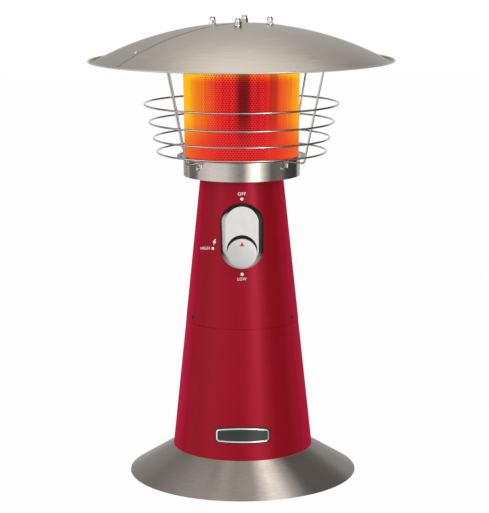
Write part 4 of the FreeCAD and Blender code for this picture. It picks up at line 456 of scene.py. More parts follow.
def coated(name, colour, rough, peel=900.0, relief=0.05, gloss=0.5):
    """A painted or moulded finish: colour, gloss, and the fine unevenness of its skin."""
    material, tree, shader = new_material(name)
    worn = effect(tree, handling, Size=30.0)["Marks"]
    skin = {"Strength": relief, "Distance": SKIN_DEPTH, "Height": noise(tree, own_place(tree), peel)}
    fill(tree, shader, {
        "Base Color": mix(tree, 1.0, colour, spread(tree, worn, 0.0, 1.0, 0.96, 1.02), "MULTIPLY"),
        "Roughness": spread(tree, worn, 0.0, 1.0, rough, rough + 0.05),
        "Normal": add(tree, "ShaderNodeBump", skin).outputs[0],
        "Specular IOR Level": gloss,
    })
    return material


red_paint = coated("red_paint", linear(172, 12, 27), 0.28, 1400.0, 0.06)
dark_screw_paint = coated("dark_screw_paint", linear(62, 26, 32), 0.35)
plate_field = coated("plate_field", linear(54, 56, 56), 0.34)
plate_border = coated("plate_border", linear(20, 20, 22), 0.35)
print_white = coated("print_white", linear(255, 252, 252), 0.45)
pointer_red = coated("pointer_red", linear(244, 62, 60), 0.40, gloss=0.25)
rubber = coated("rubber", linear(30, 30, 31), 0.70, 1200.0, 0.2)
black_plastic = coated("black_plastic", linear(34, 34, 36), 0.40)
ceramic = coated("ceramic", linear(232, 228, 218), 0.22)

# %% [markdown]
# The red paint has metal flake, and the housing gets a painted pink sheen where it curves away; its
# gloss is tinted and has no grey edge. Layer Weight gives how far the surface turns away: the
# colour moves to the painted pink with it, and the gloss fades with it.
# In the photo the steel and the chrome beside the housing show it without its red: the foot
# mirrors a soft grey from its lower part, and the bezel mirrors a near black from its upper part.
# So to a ray that has come off metal the paint is a plain painted light of that level, a painted reflection in
# place of its red.

# %% Painted sheen at the housing's edges, and its painted reflection in metal
EDGE_PINK = linear(250, 58, 100)
LACQUER_TINT = (1.0, 0.14, 0.26)
MIRRORED_GREY = (1.0, 0.90, 0.86)
GREY_FROM, GREY_TO = 280.0 * MM, 297.0 * MM

tree, shader, red = reopen(red_paint)
turned_away = add(tree, "ShaderNodeLayerWeight", {"Blend": 0.5}).outputs["Facing"]
to_metal = add(tree, "ShaderNodeLightPath").outputs["Is Glossy Ray"]
edged = mix(tree, spread(tree, turned_away, 0.28, 0.95), red, EDGE_PINK)
painted_grey_level = spread(tree, own_axes(tree)["Z"], GREY_FROM, GREY_TO, 0.44, 0.02)
fill(tree, shader, {
    "Base Color": mix(tree, to_metal, edged, BLACK),
    "Metallic": spread(tree, turned_away, 0.25, 0.60, 0.06, 0.0),
    "Specular IOR Level": spread(tree, turned_away, 0.12, 0.46, 1.0, 0.0),
    "Specular Tint": LACQUER_TINT,
    "Emission Color": mix(tree, product(tree, to_metal, painted_grey_level), BLACK, MIRRORED_GREY),
    "Emission Strength": 1.0,
})
print("red paint has", len(tree.nodes), "nodes")

# %% [markdown]
# The print on the dial is left out of those mirrors too, and it is given a faint painted glow, so
# that it looks whiter to the eye.

# %% Ink of the dial, with a painted glow
tree, shader, ink = reopen(print_white)
to_metal = add(tree, "ShaderNodeLightPath").outputs["Is Glossy Ray"]
ink_and_painted_glow = mix(tree, to_metal, ink, BLACK)
fill(tree, shader, {"Base Color": ink_and_painted_glow, "Emission Color": ink_and_painted_glow, "Emission Strength": 0.26})
print("ink has", len(tree.nodes), "nodes")

# %% [markdown]
# The foot gets a painted fan of light, in place of the light that its brushing throws from the gap
# between the reflector and the housing. The fan is a matter of the angle round the axis alone, so two
# ramps over that angle give it: one paints the light in as a glow, and the other paints shade on the
# steel beside it and at the back.

# %% Painted fan of light and painted shade on the foot
FOOT_PAINTED_FAN = (
    (0.389, 0.0), (0.433, 0.085), (0.472, 0.01), (0.533, 0.02), (0.561, 0.24), (0.589, 0.50),
    (0.614, 0.46), (0.650, 0.18), (0.690, 0.03), (0.715, 0.0),
)
FOOT_PAINTED_SHADE = (
    (0.0, 0.72), (0.167, 0.86), (0.28, 0.96), (0.60, 1.0), (0.700, 0.74), (0.756, 0.92),
    (0.833, 0.88), (1.0, 0.58),
)

tree, shader, steel = reopen(foot_steel)
front_half = spread(tree, effect(tree, around_axis)["Azimuth"], -math.pi / 2.0, math.pi / 2.0)
fill(tree, shader, {
    "Base Color": mix(tree, 1.0, steel, levels(tree, front_half, FOOT_PAINTED_SHADE), "MULTIPLY"),
    "Emission Color": mix(tree, 1.0, steel, levels(tree, front_half, FOOT_PAINTED_FAN), "MULTIPLY"),
    "Emission Strength": 1.8,
})
print("fan of", len(FOOT_PAINTED_FAN), "stops")

# %% [markdown]
# The reflector's gutter gets painted shade where its far side turns away from the light: the dome's
# steel is painted darker in a narrow ring there, from the radius of the point and its depth behind the
# middle. The rolled lip beyond it gets a painted glow for the light that the pale table sends up.

# %% Painted shade in the gutter, painted light on the lip
GUTTER_IN = (186.2 * MM, 187.6 * MM)
GUTTER_OUT = (191.5 * MM, 193.0 * MM)
LIP_IN = (193.0 * MM, 193.6 * MM)
LIP_LOW = (536.8 * MM, 537.8 * MM)
GUTTER_SHADE = (0.14, 0.13, 0.12)
LIP_LIGHT = (1.0, 0.95, 0.88)

tree, shader, steel = reopen(dome_steel)
place = effect(tree, around_axis)
in_gutter = product(tree, spread(tree, place["Radius"], *GUTTER_IN),
                    spread(tree, place["Radius"], *GUTTER_OUT, 1.0, 0.0),
                    spread(tree, place["Y"], -0.03, 0.03))
on_lip = product(tree, spread(tree, place["Radius"], *LIP_IN),
                 spread(tree, place["Y"], 0.0, 0.1, 0.42, 0.12),
                 spread(tree, place["Z"], *LIP_LOW, 1.0, 0.3))
fill(tree, shader, {
    "Base Color": mix(tree, in_gutter, steel, GUTTER_SHADE, "MULTIPLY"),
    "Emission Color": mix(tree, on_lip, BLACK, LIP_LIGHT),
    "Emission Strength": 1.0,
})
print("gutter shaded from", GUTTER_IN[0], "to", GUTTER_OUT[1])

# %% [markdown]
# The collar's flange sticks out under the emitter, where its back half only mirrors the shade below
# the reflector. So the collar's steel gets painted shade outside the band, away from the front.

# %% Painted shade on the flange
FLANGE_IN = (76.2 * MM, 77.5 * MM)
FLANGE_SHADE = (0.34, 0.30, 0.28)

tree, shader, steel = reopen(collar_steel)
place = effect(tree, around_axis)
on_flange = product(tree, spread(tree, place["Radius"], *FLANGE_IN), spread(tree, place["Y"], -0.05, -0.02))
fill(tree, shader, {"Base Color": mix(tree, on_flange, steel, FLANGE_SHADE, "MULTIPLY")})
print("flange shaded from", FLANGE_IN[0])

# %% [markdown]
# Each CAD node gets a finish in its own material slots. The list reads as a parts list, one finish
# to a line. What isn't named has plain zinc-plated steel, as most inner brackets have.

# %% Finishes for the CAD nodes
FINISHES = (
    (foot_steel, ["base_shell"]),
    (collar_steel, ["collar_pan", "collar_flange"]),
    (bright_steel, ["reflector_spacers", "reflector_studs", "reflector_washers", "acorn_nuts"]),
    (bright_steel, ["seam_rivets", "collar_screws"]),
    (heated_steel, ["emitter_cap", "burner_head", "burner_screen"]),
    (red_paint, ["lower_housing", "upper_housing"]),
    (dark_screw_paint, ["housing_screws"]),
    (satin_chrome, ["knob"]),
    (chrome, ["knob_bezel"]),
    (pointer_red, ["knob_pointer"]),
    (plate_field, ["nameplate_insert"]),
    (rubber, ["foot_pads", "regulator_diaphragm", "ignition_lead"]),
    (black_plastic, ["piezo_igniter"]),
    (ceramic, ["electrode_insulator"]),
    (cast_zinc, ["regulator_body"]),
    (brass, ["gas_pipe", "valve_body", "valve_nut", "valve_plug"]),
    (brass, ["jet_pipe", "orifice_jet", "thermocouple"]),
)
finish_of = {name: finish for finish, names in FINISHES for name in names}
for name, node in nodes.items():
    node.data.materials.clear()
    node.data.materials.append(finish_of.get(name, zinc_steel))
print("finishes on", len(nodes), "nodes")

# %% [markdown]
# New surfaces are worked out as whole arrays. A surface is a grid of points, so its faces only
# need the row and column of each point. `new_piece` turns arrays into a mesh, joins points that
# meet, makes it smooth except at sharp folds, and lets it ride on its body.

# %% Helpers for surfaces
UP = np.array([0.0, 0.0, 1.0])


def grid_faces(rows, columns, ring_rows=False, ring_columns=True):
    """Quads that join each point of a grid to the next in its row and to the next row."""
    row, column = np.meshgrid(
        np.arange(rows if ring_rows else rows - 1),
        np.arange(columns if ring_columns else columns - 1),
        indexing="ij",
    )
    next_row = (row + 1) % rows
    next_column = (column + 1) % columns
    corners = [row * columns + column, row * columns + next_column,
               next_row * columns + next_column, next_row * columns + column]
    return np.stack(corners, -1).reshape(-1, 4)


def new_piece(name, points, faces, materials, body="heater", fold=40.0):
    """A mesh from arrays, welded, facing outwards, smooth up to a fold in degrees."""
    mesh = bpy.data.meshes.new(name)
    mesh.from_pydata(np.asarray(points).reshape(-1, 3).tolist(), [], [list(face) for face in faces])
    shape = bmesh.new()
    shape.from_mesh(mesh)
    bmesh.ops.remove_doubles(shape, verts=shape.verts, dist=2e-6)
    bmesh.ops.dissolve_degenerate(shape, edges=shape.edges, dist=1e-7)
    bmesh.ops.recalc_face_normals(shape, faces=shape.faces)
    shape.to_mesh(mesh)
    shape.free()
    mesh.polygons.foreach_set("use_smooth", np.ones(len(mesh.polygons), bool))
    mesh.set_sharp_from_angle(angle=math.radians(fold))
    for material in materials:
        mesh.materials.append(material)
    piece = bpy.data.objects.new(name, mesh)
    scene.collection.objects.link(piece)
    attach(piece, body)
    print(name, len(mesh.vertices), "points")
    return piece


def around(radius, azimuth, height):
    """Points on circles round the axis; an azimuth is from the front towards the right, in radians."""
    return np.stack([radius * np.sin(azimuth), -radius * np.cos(azimuth), height + azimuth * 0.0], -1)


def directions(azimuth):
    """Unit vectors at an azimuth: outwards from the axis, and sideways round it."""
    sine, cosine = math.sin(azimuth), math.cos(azimuth)
    return np.array([sine, -cosine, 0.0]), np.array([cosine, sine, 0.0])


def full_turn(count):
    """Equal steps of angle round a full turn."""
    return np.linspace(0.0, 2.0 * np.pi, count, endpoint=False)


def repeated(copies, faces):
    """Several like shapes as one: all their points, and the faces of one counted on for each."""
    count = copies[0].size // 3
    all_faces = [[corner + count * index for corner in face] for index in range(len(copies)) for face in faces]
    return np.concatenate([copy.reshape(-1, 3) for copy in copies]), all_faces


# %% [markdown]
# The guard's rings are drawn wire, butt-welded to the legs, which lean outwards as they rise. A
# ring is a torus: a small circle carried round a large one. The low rings stand outside the legs,
# and the top ring stands inside them.

# %% Guard rings
RING_WIRE = 1.2 * MM
RING_LEVELS = (421.4, 438.9, 459.3, 482.3)
TOP_RING_LEVEL = 550.5 * MM
LEG_WIRE = 1.25 * MM
LEG_LEAN = 0.262
LEG_RADIUS = 120.6 * MM
LEG_LEVEL = 480.0 * MM
WELD_GAP = 0.05 * MM


def leg_radius(height):
    """Distance of a leg's centre line from the axis at a height."""
    return LEG_RADIUS + (height - LEG_LEVEL) * LEG_LEAN


def wire_ring(name, radius, height):
    """A torus: radius plus wire times cosine outwards, and wire times sine upwards."""
    small, large = np.meshgrid(full_turn(16), full_turn(180), indexing="ij")
    points = around(radius + RING_WIRE * np.cos(small), large, height + RING_WIRE * np.sin(small))
    ring_piece = new_piece(name, points, grid_faces(16, 180, ring_rows=True), [wire_steel])
    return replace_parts(ring_piece, name)


standoff = (RING_WIRE + LEG_WIRE + WELD_GAP) / math.cos(math.atan(LEG_LEAN))
for number, level in enumerate(RING_LEVELS, start=1):
    wire_ring(f"guard_ring_{number}", leg_radius(level * MM) + standoff, level * MM)
wire_ring("guard_top_ring", leg_radius(TOP_RING_LEVEL) - standoff, TOP_RING_LEVEL)

# %% [markdown]
# A leg starts with a short tail on the collar's band, runs out under the flange, bends up, and
# leans outwards. Its path lies in one upright plane, so the wire's small circle needs only that
# plane's sideways direction and the direction square to the path within the plane.

# %% Guard legs
LEG_AZIMUTHS = np.radians(48.7 + 90.0 * np.arange(4))
FOOT_LEVEL = 413.7 * MM
FOOT_BEND = 5.0 * MM
TAIL_RADIUS = 76.2 * MM
TAIL_LENGTH = 7.5 * MM
TAIL_BEND = 3.0 * MM
LEG_TOP = 553.0 * MM


def leg_path():
    """Distance out and height along a leg: an upright tail, an arc, a level run, an arc, and the lean."""
    lean = math.atan(1.0 / LEG_LEAN)
    corner = leg_radius(FOOT_LEVEL)
    reach = FOOT_BEND * math.tan(lean / 2.0)
    first = np.linspace(np.pi, np.pi / 2.0, 8)
    second = np.linspace(-np.pi / 2.0, lean - np.pi / 2.0, 12)
    out = np.concatenate([
        [TAIL_RADIUS], TAIL_RADIUS + TAIL_BEND + TAIL_BEND * np.cos(first),
        corner - reach + FOOT_BEND * np.cos(second), [leg_radius(LEG_TOP)],
    ])
    up = np.concatenate([
        [FOOT_LEVEL - TAIL_LENGTH], FOOT_LEVEL - TAIL_BEND + TAIL_BEND * np.sin(first),
        FOOT_LEVEL + FOOT_BEND + FOOT_BEND * np.sin(second), [LEG_TOP],
    ])
    return out, up


def wire_legs():
    """A small circle carried along the leg's path, at each azimuth, with closed ends."""
    out, up = leg_path()
    ahead = np.stack([np.gradient(out), np.gradient(up)], -1)
    ahead /= np.linalg.norm(ahead, axis=-1, keepdims=True)
    circle = full_turn(14)
    radial = out[:, None] + LEG_WIRE * np.cos(circle) * ahead[:, 1:]
    height = up[:, None] - LEG_WIRE * np.cos(circle) * ahead[:, :1]
    across = LEG_WIRE * np.sin(circle) + radial * 0.0
    copies = []
    for azimuth in LEG_AZIMUTHS:
        outward, sideways = directions(azimuth)
        copies.append(radial[..., None] * outward + across[..., None] * sideways + height[..., None] * UP)
    first = np.arange(len(circle))
    ends = [first[::-1].tolist(), (first + radial.size - len(circle)).tolist()]
    points, faces = repeated(copies, grid_faces(len(out), len(circle)).tolist() + ends)
    legs = new_piece("guard_legs", points, faces, [wire_steel])
    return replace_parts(legs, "guard_legs")


wire_legs()

# %% [markdown]
# The reflector is two spun halves. Each half runs 5 degrees under its neighbour at one end, and at
# the other it steps up by its own thickness and laps over, held by a rivet. At the edge the sheet
# dips into a small gutter and turns up into a rolled lip. The profile below is carried round by
# 185 degrees, and the last 8 degrees are raised and hammered thinner, so that the lap shows only
# as a fine line.

# %% Profile of the reflector
DOME_RADIUS = 392.5 * MM
DOME_CENTRE = 191.48 * MM
DOME_SHEET = 1.0 * MM
DOME_EDGE = 186.5 * MM
BEAD_OUT, BEAD_LEVEL, BEAD_RADIUS = 194.35, 537.20, 1.05
GUTTER_TOP = ((187.4, 536.45), (188.3, 536.20), (189.3, 536.20), (190.3, 536.45), (191.5, 537.00),
              (192.7, 537.70))
GUTTER_UNDER = ((193.0, 536.15), (191.8, 535.80), (190.6, 535.55), (189.4, 535.50), (188.0, 535.65))
LAP_LOW_RISE = 1.12 * MM
LAP_TOP_RISE = 0.50 * MM


def dome_profile():
    """Radius and height: out along the top face, round the lip, and back along the under face.

    The faces are two spheres, and the lip is a circle. The third array says how far each point is
    raised at the lap: the under face by more, because the sheet is thinner there.
    """
    out = np.linspace(0.0, 1.0, 40) ** 0.9 * DOME_EDGE
    top = DOME_CENTRE + np.sqrt(DOME_RADIUS ** 2 - out ** 2)
    under = DOME_CENTRE + np.sqrt((DOME_RADIUS - DOME_SHEET) ** 2 - out ** 2)
    angle = np.linspace(np.pi * 0.70, -np.pi * 0.62, 12)
    bead = np.stack([BEAD_OUT + BEAD_RADIUS * np.cos(angle), BEAD_LEVEL + BEAD_RADIUS * np.sin(angle)], -1)
    edge = np.concatenate([GUTTER_TOP, bead, GUTTER_UNDER]) * MM
    radius = np.concatenate([out, edge[:, 0], out[::-1]])
    height = np.concatenate([top, edge[:, 1], under[::-1]])
    raised = np.concatenate([
        np.full(len(out) + len(GUTTER_TOP), LAP_TOP_RISE),
        np.linspace(LAP_TOP_RISE, LAP_LOW_RISE, len(bead)),
        np.full(len(out) + len(GUTTER_UNDER), LAP_LOW_RISE),
    ])
    return radius, height, raised


print("profile of", len(dome_profile()[0]), "points")

# %% [markdown]
# The half is raised square to the sheet, by a smooth step over the lap's length. Its top face
# drops again in the last degrees, which is the hammered edge. One face closes each end.

# %% Reflector halves
SEAM_AZIMUTH = -54.5
LAP_UNDER = 5.0
LAP_RISE = 8.0
LAP_THIN = 2.5
LAP_EDGE_RISE = 0.28 * MM
STEEPEST = 0.48
POLE = 0.5 * MM


def reflector_half(name, start):
    """The profile carried round from its start; near its end it is raised and then thinned."""
    radius, height, raised = dome_profile()
    azimuth = np.radians(np.linspace(start - LAP_UNDER, start + 180.0, 186))
    to_end = (np.radians(start + 180.0) - azimuth) / np.radians(LAP_RISE)
    step = np.clip(1.0 - to_end, 0.0, 1.0)
    step = step * step * (3.0 - 2.0 * step)
    thin = np.clip(1.0 - to_end * LAP_RISE / LAP_THIN, 0.0, 1.0)
    drop = np.where(raised == LAP_TOP_RISE, LAP_TOP_RISE - LAP_EDGE_RISE, 0.0)
    rise = raised[:, None] * step[None, :] - drop[:, None] * thin[None, :]
    slope = np.clip(radius / DOME_RADIUS, 0.0, STEEPEST)[:, None]
    radius, height = radius[:, None], height[:, None]
    lifted_radius = np.where(radius < POLE, radius, radius + rise * slope)
    lifted_height = height + rise * np.sqrt(1.0 - slope ** 2)
    points = around(lifted_radius, azimuth[None, :] + lifted_radius * 0.0, lifted_height)
    rows, columns = lifted_radius.shape
    first = np.arange(rows) * columns
    ends = [first.tolist(), (first + columns - 1)[::-1].tolist()]
    faces = grid_faces(rows, columns, ring_rows=True, ring_columns=False).tolist() + ends
    half = new_piece(name, points, faces, [dome_steel], fold=35.0)
    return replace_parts(half, name)


reflector_half("reflector_panel_right", SEAM_AZIMUTH)
reflector_half("reflector_panel_left", SEAM_AZIMUTH + 180.0)

# %% [markdown]
# A rivet holds each lap. Its head is a low dome whose rim stands on the sheet. The head is a cap
# turned round the rivet's own axis, which leans with the reflector.

# %% Seam rivets
RIVET_CIRCLE = 154.0 * MM
RIVET_OFFSET = 3.0
RIVET_HEAD = 3.2 * MM
RIVET_SHANK_SHARE = 0.45


def rivet_heads():
    """Two closed caps: cosine and sine of an angle give each ring's radius and height over the sheet."""
    rise = np.linspace(0.0, np.pi / 2.0, 7)
    ring_radius = np.concatenate([[0.0, RIVET_SHANK_SHARE, RIVET_SHANK_SHARE], np.cos(rise)]) * RIVET_HEAD
    ring_height = np.concatenate([[-2.0, -2.0, 0.2], 0.4 + 1.5 * np.sin(rise)]) * MM
    circle = full_turn(24)[None, :, None]
    lean = math.asin(RIVET_CIRCLE / DOME_RADIUS)
    copies = []
    for half_turn in (0.0, 180.0):
        outward, sideways = directions(math.radians(SEAM_AZIMUTH - RIVET_OFFSET + half_turn))
        axis = outward * math.sin(lean) + UP * math.cos(lean)
        along = outward * math.cos(lean) - UP * math.sin(lean)
        centre = UP * DOME_CENTRE + axis * DOME_RADIUS
        flat = np.cos(circle) * along + np.sin(circle) * sideways
        copies.append(centre + ring_radius[:, None, None] * flat + ring_height[:, None, None] * axis)
    points, faces = repeated(copies, grid_faces(len(ring_radius), 24).tolist())
    heads = new_piece("seam_rivets", points, faces, [bright_steel])
    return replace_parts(heads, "seam_rivets")


rivet_heads()

# %% [markdown]
# The emitter is a cylinder of perforated sheet that glows from the burner inside it. Its glow is
# painted brighter where it is seen at a slant, at both sides, and it is brighter along the top and
# darker in two upright stripes, as the photo shows. So its colour is a heat value, worked out from
# the angle and the height and run through a ramp of hot colours. Metal mirrors the glow only weakly.

# %% Emitter glow
HEAT_CURVE = ((0.0, 1.0), (0.366, 0.96), (0.56, 0.80), (0.73, 0.66), (0.84, 0.54), (0.917, 0.42),
              (0.970, 0.35), (1.0, 0.36))
HOT_COLOURS = (
    (0.00, linear(84, 8, 18)), (0.16, linear(140, 14, 28)), (0.36, linear(232, 32, 38)),
    (0.50, linear(240, 62, 36)), (0.68, linear(244, 112, 30)), (0.84, linear(250, 160, 22)),
    (1.00, linear(254, 198, 20)),
)


def heat_curve(tree, facing):
    """The heat over the cosine of the angle to the front, painted higher where it is seen at a slant, as a
    smooth curve through its points.
    """
    node = add(tree, "ShaderNodeFloatCurve", {"Value": facing})
    curve = node.mapping.curves[0]
    for spot, warmth in HEAT_CURVE[1:-1]:
        curve.points.new(spot, warmth)
    curve.points[0].location = HEAT_CURVE[0]
    curve.points[-1].location = HEAT_CURVE[-1]
    node.mapping.update()
    return node.outputs[0]


def dark_stripe(tree, azimuth, z, middle, edges, depth, rise):
    """Darkness that fades with the angle from the stripe's middle and grows with height."""
    away = calculate(tree, "ABSOLUTE", calculate(tree, "SUBTRACT", azimuth, middle))
    return product(tree, spread(tree, away, *edges, depth, 0.0, smooth=True), spread(tree, z, *rise))


def glow_material():
    """Heat by angle, painted higher where it is seen at a slant, plus streaks; evened out at the foot, hotter
    at the top; then its colour.
    """
    material, tree, shader = new_material("emitter_glow")
    place = effect(tree, around_axis)
    azimuth, z = place["Azimuth"], place["Z"]
    turned_off = calculate(tree, "SUBTRACT", azimuth, 0.033)
    facing = calculate(tree, "ABSOLUTE", calculate(tree, "COSINE", turned_off))
    cooler_right = spread(tree, azimuth, 0.15, 0.75, 0.0, 0.08)
    heat = calculate(tree, "SUBTRACT", heat_curve(tree, facing), cooler_right)
    upright = {"X": product(tree, azimuth, 26.0), "Z": product(tree, z, 9.0)}
    streaks = noise(tree, add(tree, "ShaderNodeCombineXYZ", upright).outputs[0], 1.0, 3.0)
    heat = calculate(tree, "ADD", heat, spread(tree, streaks, 0.3, 0.7, -0.07, 0.07))
    low = spread(tree, z, 0.425, 0.470, 1.0, 0.0, smooth=True)
    heat = between(tree, low, heat, spread(tree, facing, 0.2, 1.0, 0.62, 0.37))
    heat = calculate(tree, "ADD", heat, spread(tree, z, 0.513, 0.527, 0.0, 0.36, smooth=True))
    right = dark_stripe(tree, azimuth, z, 0.575, (0.05, 0.11), 0.38, (0.435, 0.475))
    middle = dark_stripe(tree, azimuth, z, 0.03, (0.05, 0.17), 0.76, (0.430, 0.474))
    middle = product(tree, middle, spread(tree, z, 0.505, 0.526, 1.0, 0.75))
    light = calculate(tree, "SUBTRACT", 1.0, calculate(tree, "MAXIMUM", right, middle))
    to_metal = add(tree, "ShaderNodeLightPath").outputs["Is Glossy Ray"]
    light = product(tree, light, spread(tree, to_metal, 0.0, 1.0, 1.0, 0.2))
    fill(tree, shader, {
        "Base Color": (0.02, 0.01, 0.01),
        "Roughness": 0.6,
        "Specular IOR Level": 0.05,
        "Emission Color": mix(tree, light, BLACK, ramp(tree, heat, HOT_COLOURS)),
        "Emission Strength": 1.0,
    })
    return material


emitter_glow = glow_material()

# %% [markdown]
# The inside of the sheet and the walls of its holes are painted dark in the middle, where they face
# the camera, and painted with a glow towards the sides, where the light from inside catches them.

# %% Inside of the emitter


def dark_glow_material():
    """A ramp of dark to hot colours over the distance to either side, with some noise: painted shade in the
    middle, painted glow at the sides.
    """
    material, tree, shader = new_material("emitter_inside")
    place = own_place(tree)
    across = add(tree, "ShaderNodeSeparateXYZ", {0: place}).outputs["X"]
    to_side = spread(tree, calculate(tree, "ABSOLUTE", across), 0.012, 0.066)
    uneven = spread(tree, noise(tree, place, 60.0), 0.3, 0.7, -0.08, 0.08)
    fill(tree, shader, {
        "Base Color": (0.03, 0.02, 0.02),
        "Roughness": 0.7,
        "Specular IOR Level": 0.2,
        "Emission Color": ramp(tree, calculate(tree, "ADD", to_side, uneven), (
            (0.05, linear(44, 6, 8)), (0.35, linear(120, 30, 16)), (0.62, linear(206, 84, 26)),
            (0.95, linear(244, 160, 26)),
        )),
        "Emission Strength": 0.8,
    })
    return material


emitter_inside = dark_glow_material()

# %% [markdown]
# Round holes stand in staggered rows, so each hole has a six-sided cell of sheet round it, and the
# cells fit together like a honeycomb. One cell is its border's six points and its hole's six
# points, and the sheet is that cell repeated by adding arrays of places. A plain band ends the
# sheet below and above, from the honeycomb's zigzag border to a level edge.

# %% Holes of the emitter
HOLE_COLUMNS = 126
HALF_COLUMNS = HOLE_COLUMNS // 2
HOLE_ROWS = 49
HOLE_STEP = 2.0 * np.pi / HOLE_COLUMNS
HOLE_ROW_STEP = 2.6 * MM
HOLE_RADIUS = 0.78 * MM
HOLE_FLOOR = 0.45 * MM
FIRST_HOLE_ROW = 419.2 * MM
EMITTER_LEVELS = np.array([399.9, 416.0, 424.0, 548.0]) * MM
EMITTER_RADII = np.array([71.8, 71.8, 73.0, 74.7]) * MM
EMITTER_MEAN_RADIUS = 73.8 * MM


def hole_cells(first_column, floors):
    """Angles, levels and depths of the cells: a row per cell, six points per ring; and their faces."""
    border_x = np.array([0.5, 0.5, 0.0, -0.5, -0.5, 0.0]) * HOLE_STEP
    border_z = np.array([-1.0, 1.0, 2.0, 1.0, -1.0, -2.0]) / 3.0 * HOLE_ROW_STEP
    corner = np.radians(-30.0 + 60.0 * np.arange(6))
    hole_x = HOLE_RADIUS * np.cos(corner) / EMITTER_MEAN_RADIUS
    hole_z = HOLE_RADIUS * np.sin(corner)
    row, column = np.meshgrid(np.arange(HOLE_ROWS), np.arange(HALF_COLUMNS), indexing="ij")
    centre_x = (first_column + column + 0.5 * (row % 2)).reshape(-1, 1) * HOLE_STEP
    centre_z = (FIRST_HOLE_ROW + row * HOLE_ROW_STEP).reshape(-1, 1)
    rings = 3 if floors else 2
    angle = np.concatenate([centre_x + border_x] + [centre_x + hole_x] * (rings - 1), axis=1)
    level = np.concatenate([centre_z + border_z] + [centre_z + hole_z] * (rings - 1), axis=1)
    sunk = np.zeros_like(angle)
    sunk[:, 12:] = HOLE_FLOOR
    index = np.arange(6)
    following = (index + 1) % 6
    quads = np.stack([index, following, following + 6, index + 6], -1)
    quads = np.concatenate([quads + 6 * ring for ring in range(rings - 1)])
    first_point = 6 * rings * np.arange(len(angle))
    faces = (quads[None] + first_point[:, None, None]).reshape(-1, 4).tolist()
    floor_faces = (first_point[:, None] + index + 12).tolist() if floors else []
    return angle.ravel(), level.ravel(), sunk.ravel(), faces, floor_faces


def end_band(first_column, row, way, end_levels, first_point):
    """A grid from the zigzag border of a row, up or down, to level rings."""
    half_steps = np.arange(2 * HALF_COLUMNS + 1)
    angle = (first_column + 0.5 * (row % 2) - 0.5 + half_steps / 2.0) * HOLE_STEP
    away = np.where(half_steps % 2 == 1, 2.0, 1.0) / 3.0
    zigzag = FIRST_HOLE_ROW + row * HOLE_ROW_STEP + way * away * HOLE_ROW_STEP
    rings = [zigzag] + [level + zigzag * 0.0 for level in end_levels[::-1]]
    faces = grid_faces(len(rings), len(angle), ring_columns=False) + first_point
    return np.tile(angle, len(rings)), np.concatenate(rings), faces.tolist()


print("holes", HOLE_COLUMNS * HOLE_ROWS)

# %% [markdown]
# The sheet is made in two halves. The front half's holes go right through. The back half's end in
# a dark floor, because soot and mesh behind them let no daylight through from the front. A
# Solidify modifier gives each half its thickness, with the second material inside.

# %% Emitter sheet
EMITTER_SHEET = 0.8 * MM
SUNK_FROM = 0.15 * MM


def emitter_half(name, first_column, floors):
    """Cells and end bands wrapped round the axis: the radius follows the height, less the depth."""
    angle, level, sunk, faces, floor_faces = hole_cells(first_column, floors)
    for row, way, end_levels in ((0, -1.0, EMITTER_LEVELS[:2]), (HOLE_ROWS - 1, 1.0, EMITTER_LEVELS[3:])):
        band_angle, band_level, band_faces = end_band(first_column, row, way, end_levels, angle.size)
        angle = np.concatenate([angle, band_angle])
        level = np.concatenate([level, band_level])
        faces = faces + band_faces
    sunk = np.concatenate([sunk, np.zeros(angle.size - sunk.size)])
    points = around(np.interp(level, EMITTER_LEVELS, EMITTER_RADII) - sunk, angle, level)
    return new_piece(name, points, faces + floor_faces, [emitter_glow, emitter_inside])


def face_out(sheet):
    """Turn an open sheet's faces away from the axis, and give the sunk ones the inside's material."""
    mesh = sheet.data
    centres = np.empty(len(mesh.polygons) * 3)
    normals = np.empty(len(mesh.polygons) * 3)
    mesh.polygons.foreach_get("center", centres)
    mesh.polygons.foreach_get("normal", normals)
    centres, normals = centres.reshape(-1, 3), normals.reshape(-1, 3)
    if np.median((centres[:, :2] * normals[:, :2]).sum(1)) < 0.0:
        mesh.flip_normals()
    skin = np.interp(centres[:, 2], EMITTER_LEVELS, EMITTER_RADII)
    sunk = np.hypot(centres[:, 0], centres[:, 1]) < skin - SUNK_FROM
    mesh.polygons.foreach_set("material_index", sunk.astype(np.int32))


for name, side, floors in (("emitter_screen_front", -1.0, False), ("emitter_screen_back", 1.0, True)):
    sheet = emitter_half(name, side * HALF_COLUMNS / 2.0, floors)
    face_out(sheet)
    solid = sheet.modifiers.new("thickness", "SOLIDIFY")
    solid.thickness = EMITTER_SHEET
    solid.offset = -1.0
    solid.material_offset = 1
    solid.material_offset_rim = 1
    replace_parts(sheet, "emitter_screen")

# %% [markdown]
# The nameplate and the printed dial lie on the housing. Each is drawn flat and then laid on the
# housing's cone, by setting how far each of its points stands from the axis.

# %% Laying flat shapes on the housing
HOUSING_FOOT_LEVEL = 35.8 * MM
HOUSING_TOP_LEVEL = 391.2 * MM
HOUSING_FOOT_RADIUS = 90.6 * MM
HOUSING_TOP_RADIUS = 53.0 * MM
PATH_STEP = 2.0 * MM


def housing_radius(height):
    """The cone's radius at a height: a straight line from its foot to its top."""
    share = (height - HOUSING_FOOT_LEVEL) / (HOUSING_TOP_LEVEL - HOUSING_FOOT_LEVEL)
    return HOUSING_FOOT_RADIUS + (HOUSING_TOP_RADIUS - HOUSING_FOOT_RADIUS) * share


def laid_on(across, height, proud):
    """Points at a straight distance across and a height, standing proud of the cone."""
    radius = housing_radius(height) + proud
    return np.stack([across, -np.sqrt(radius ** 2 - across ** 2), height], -1)


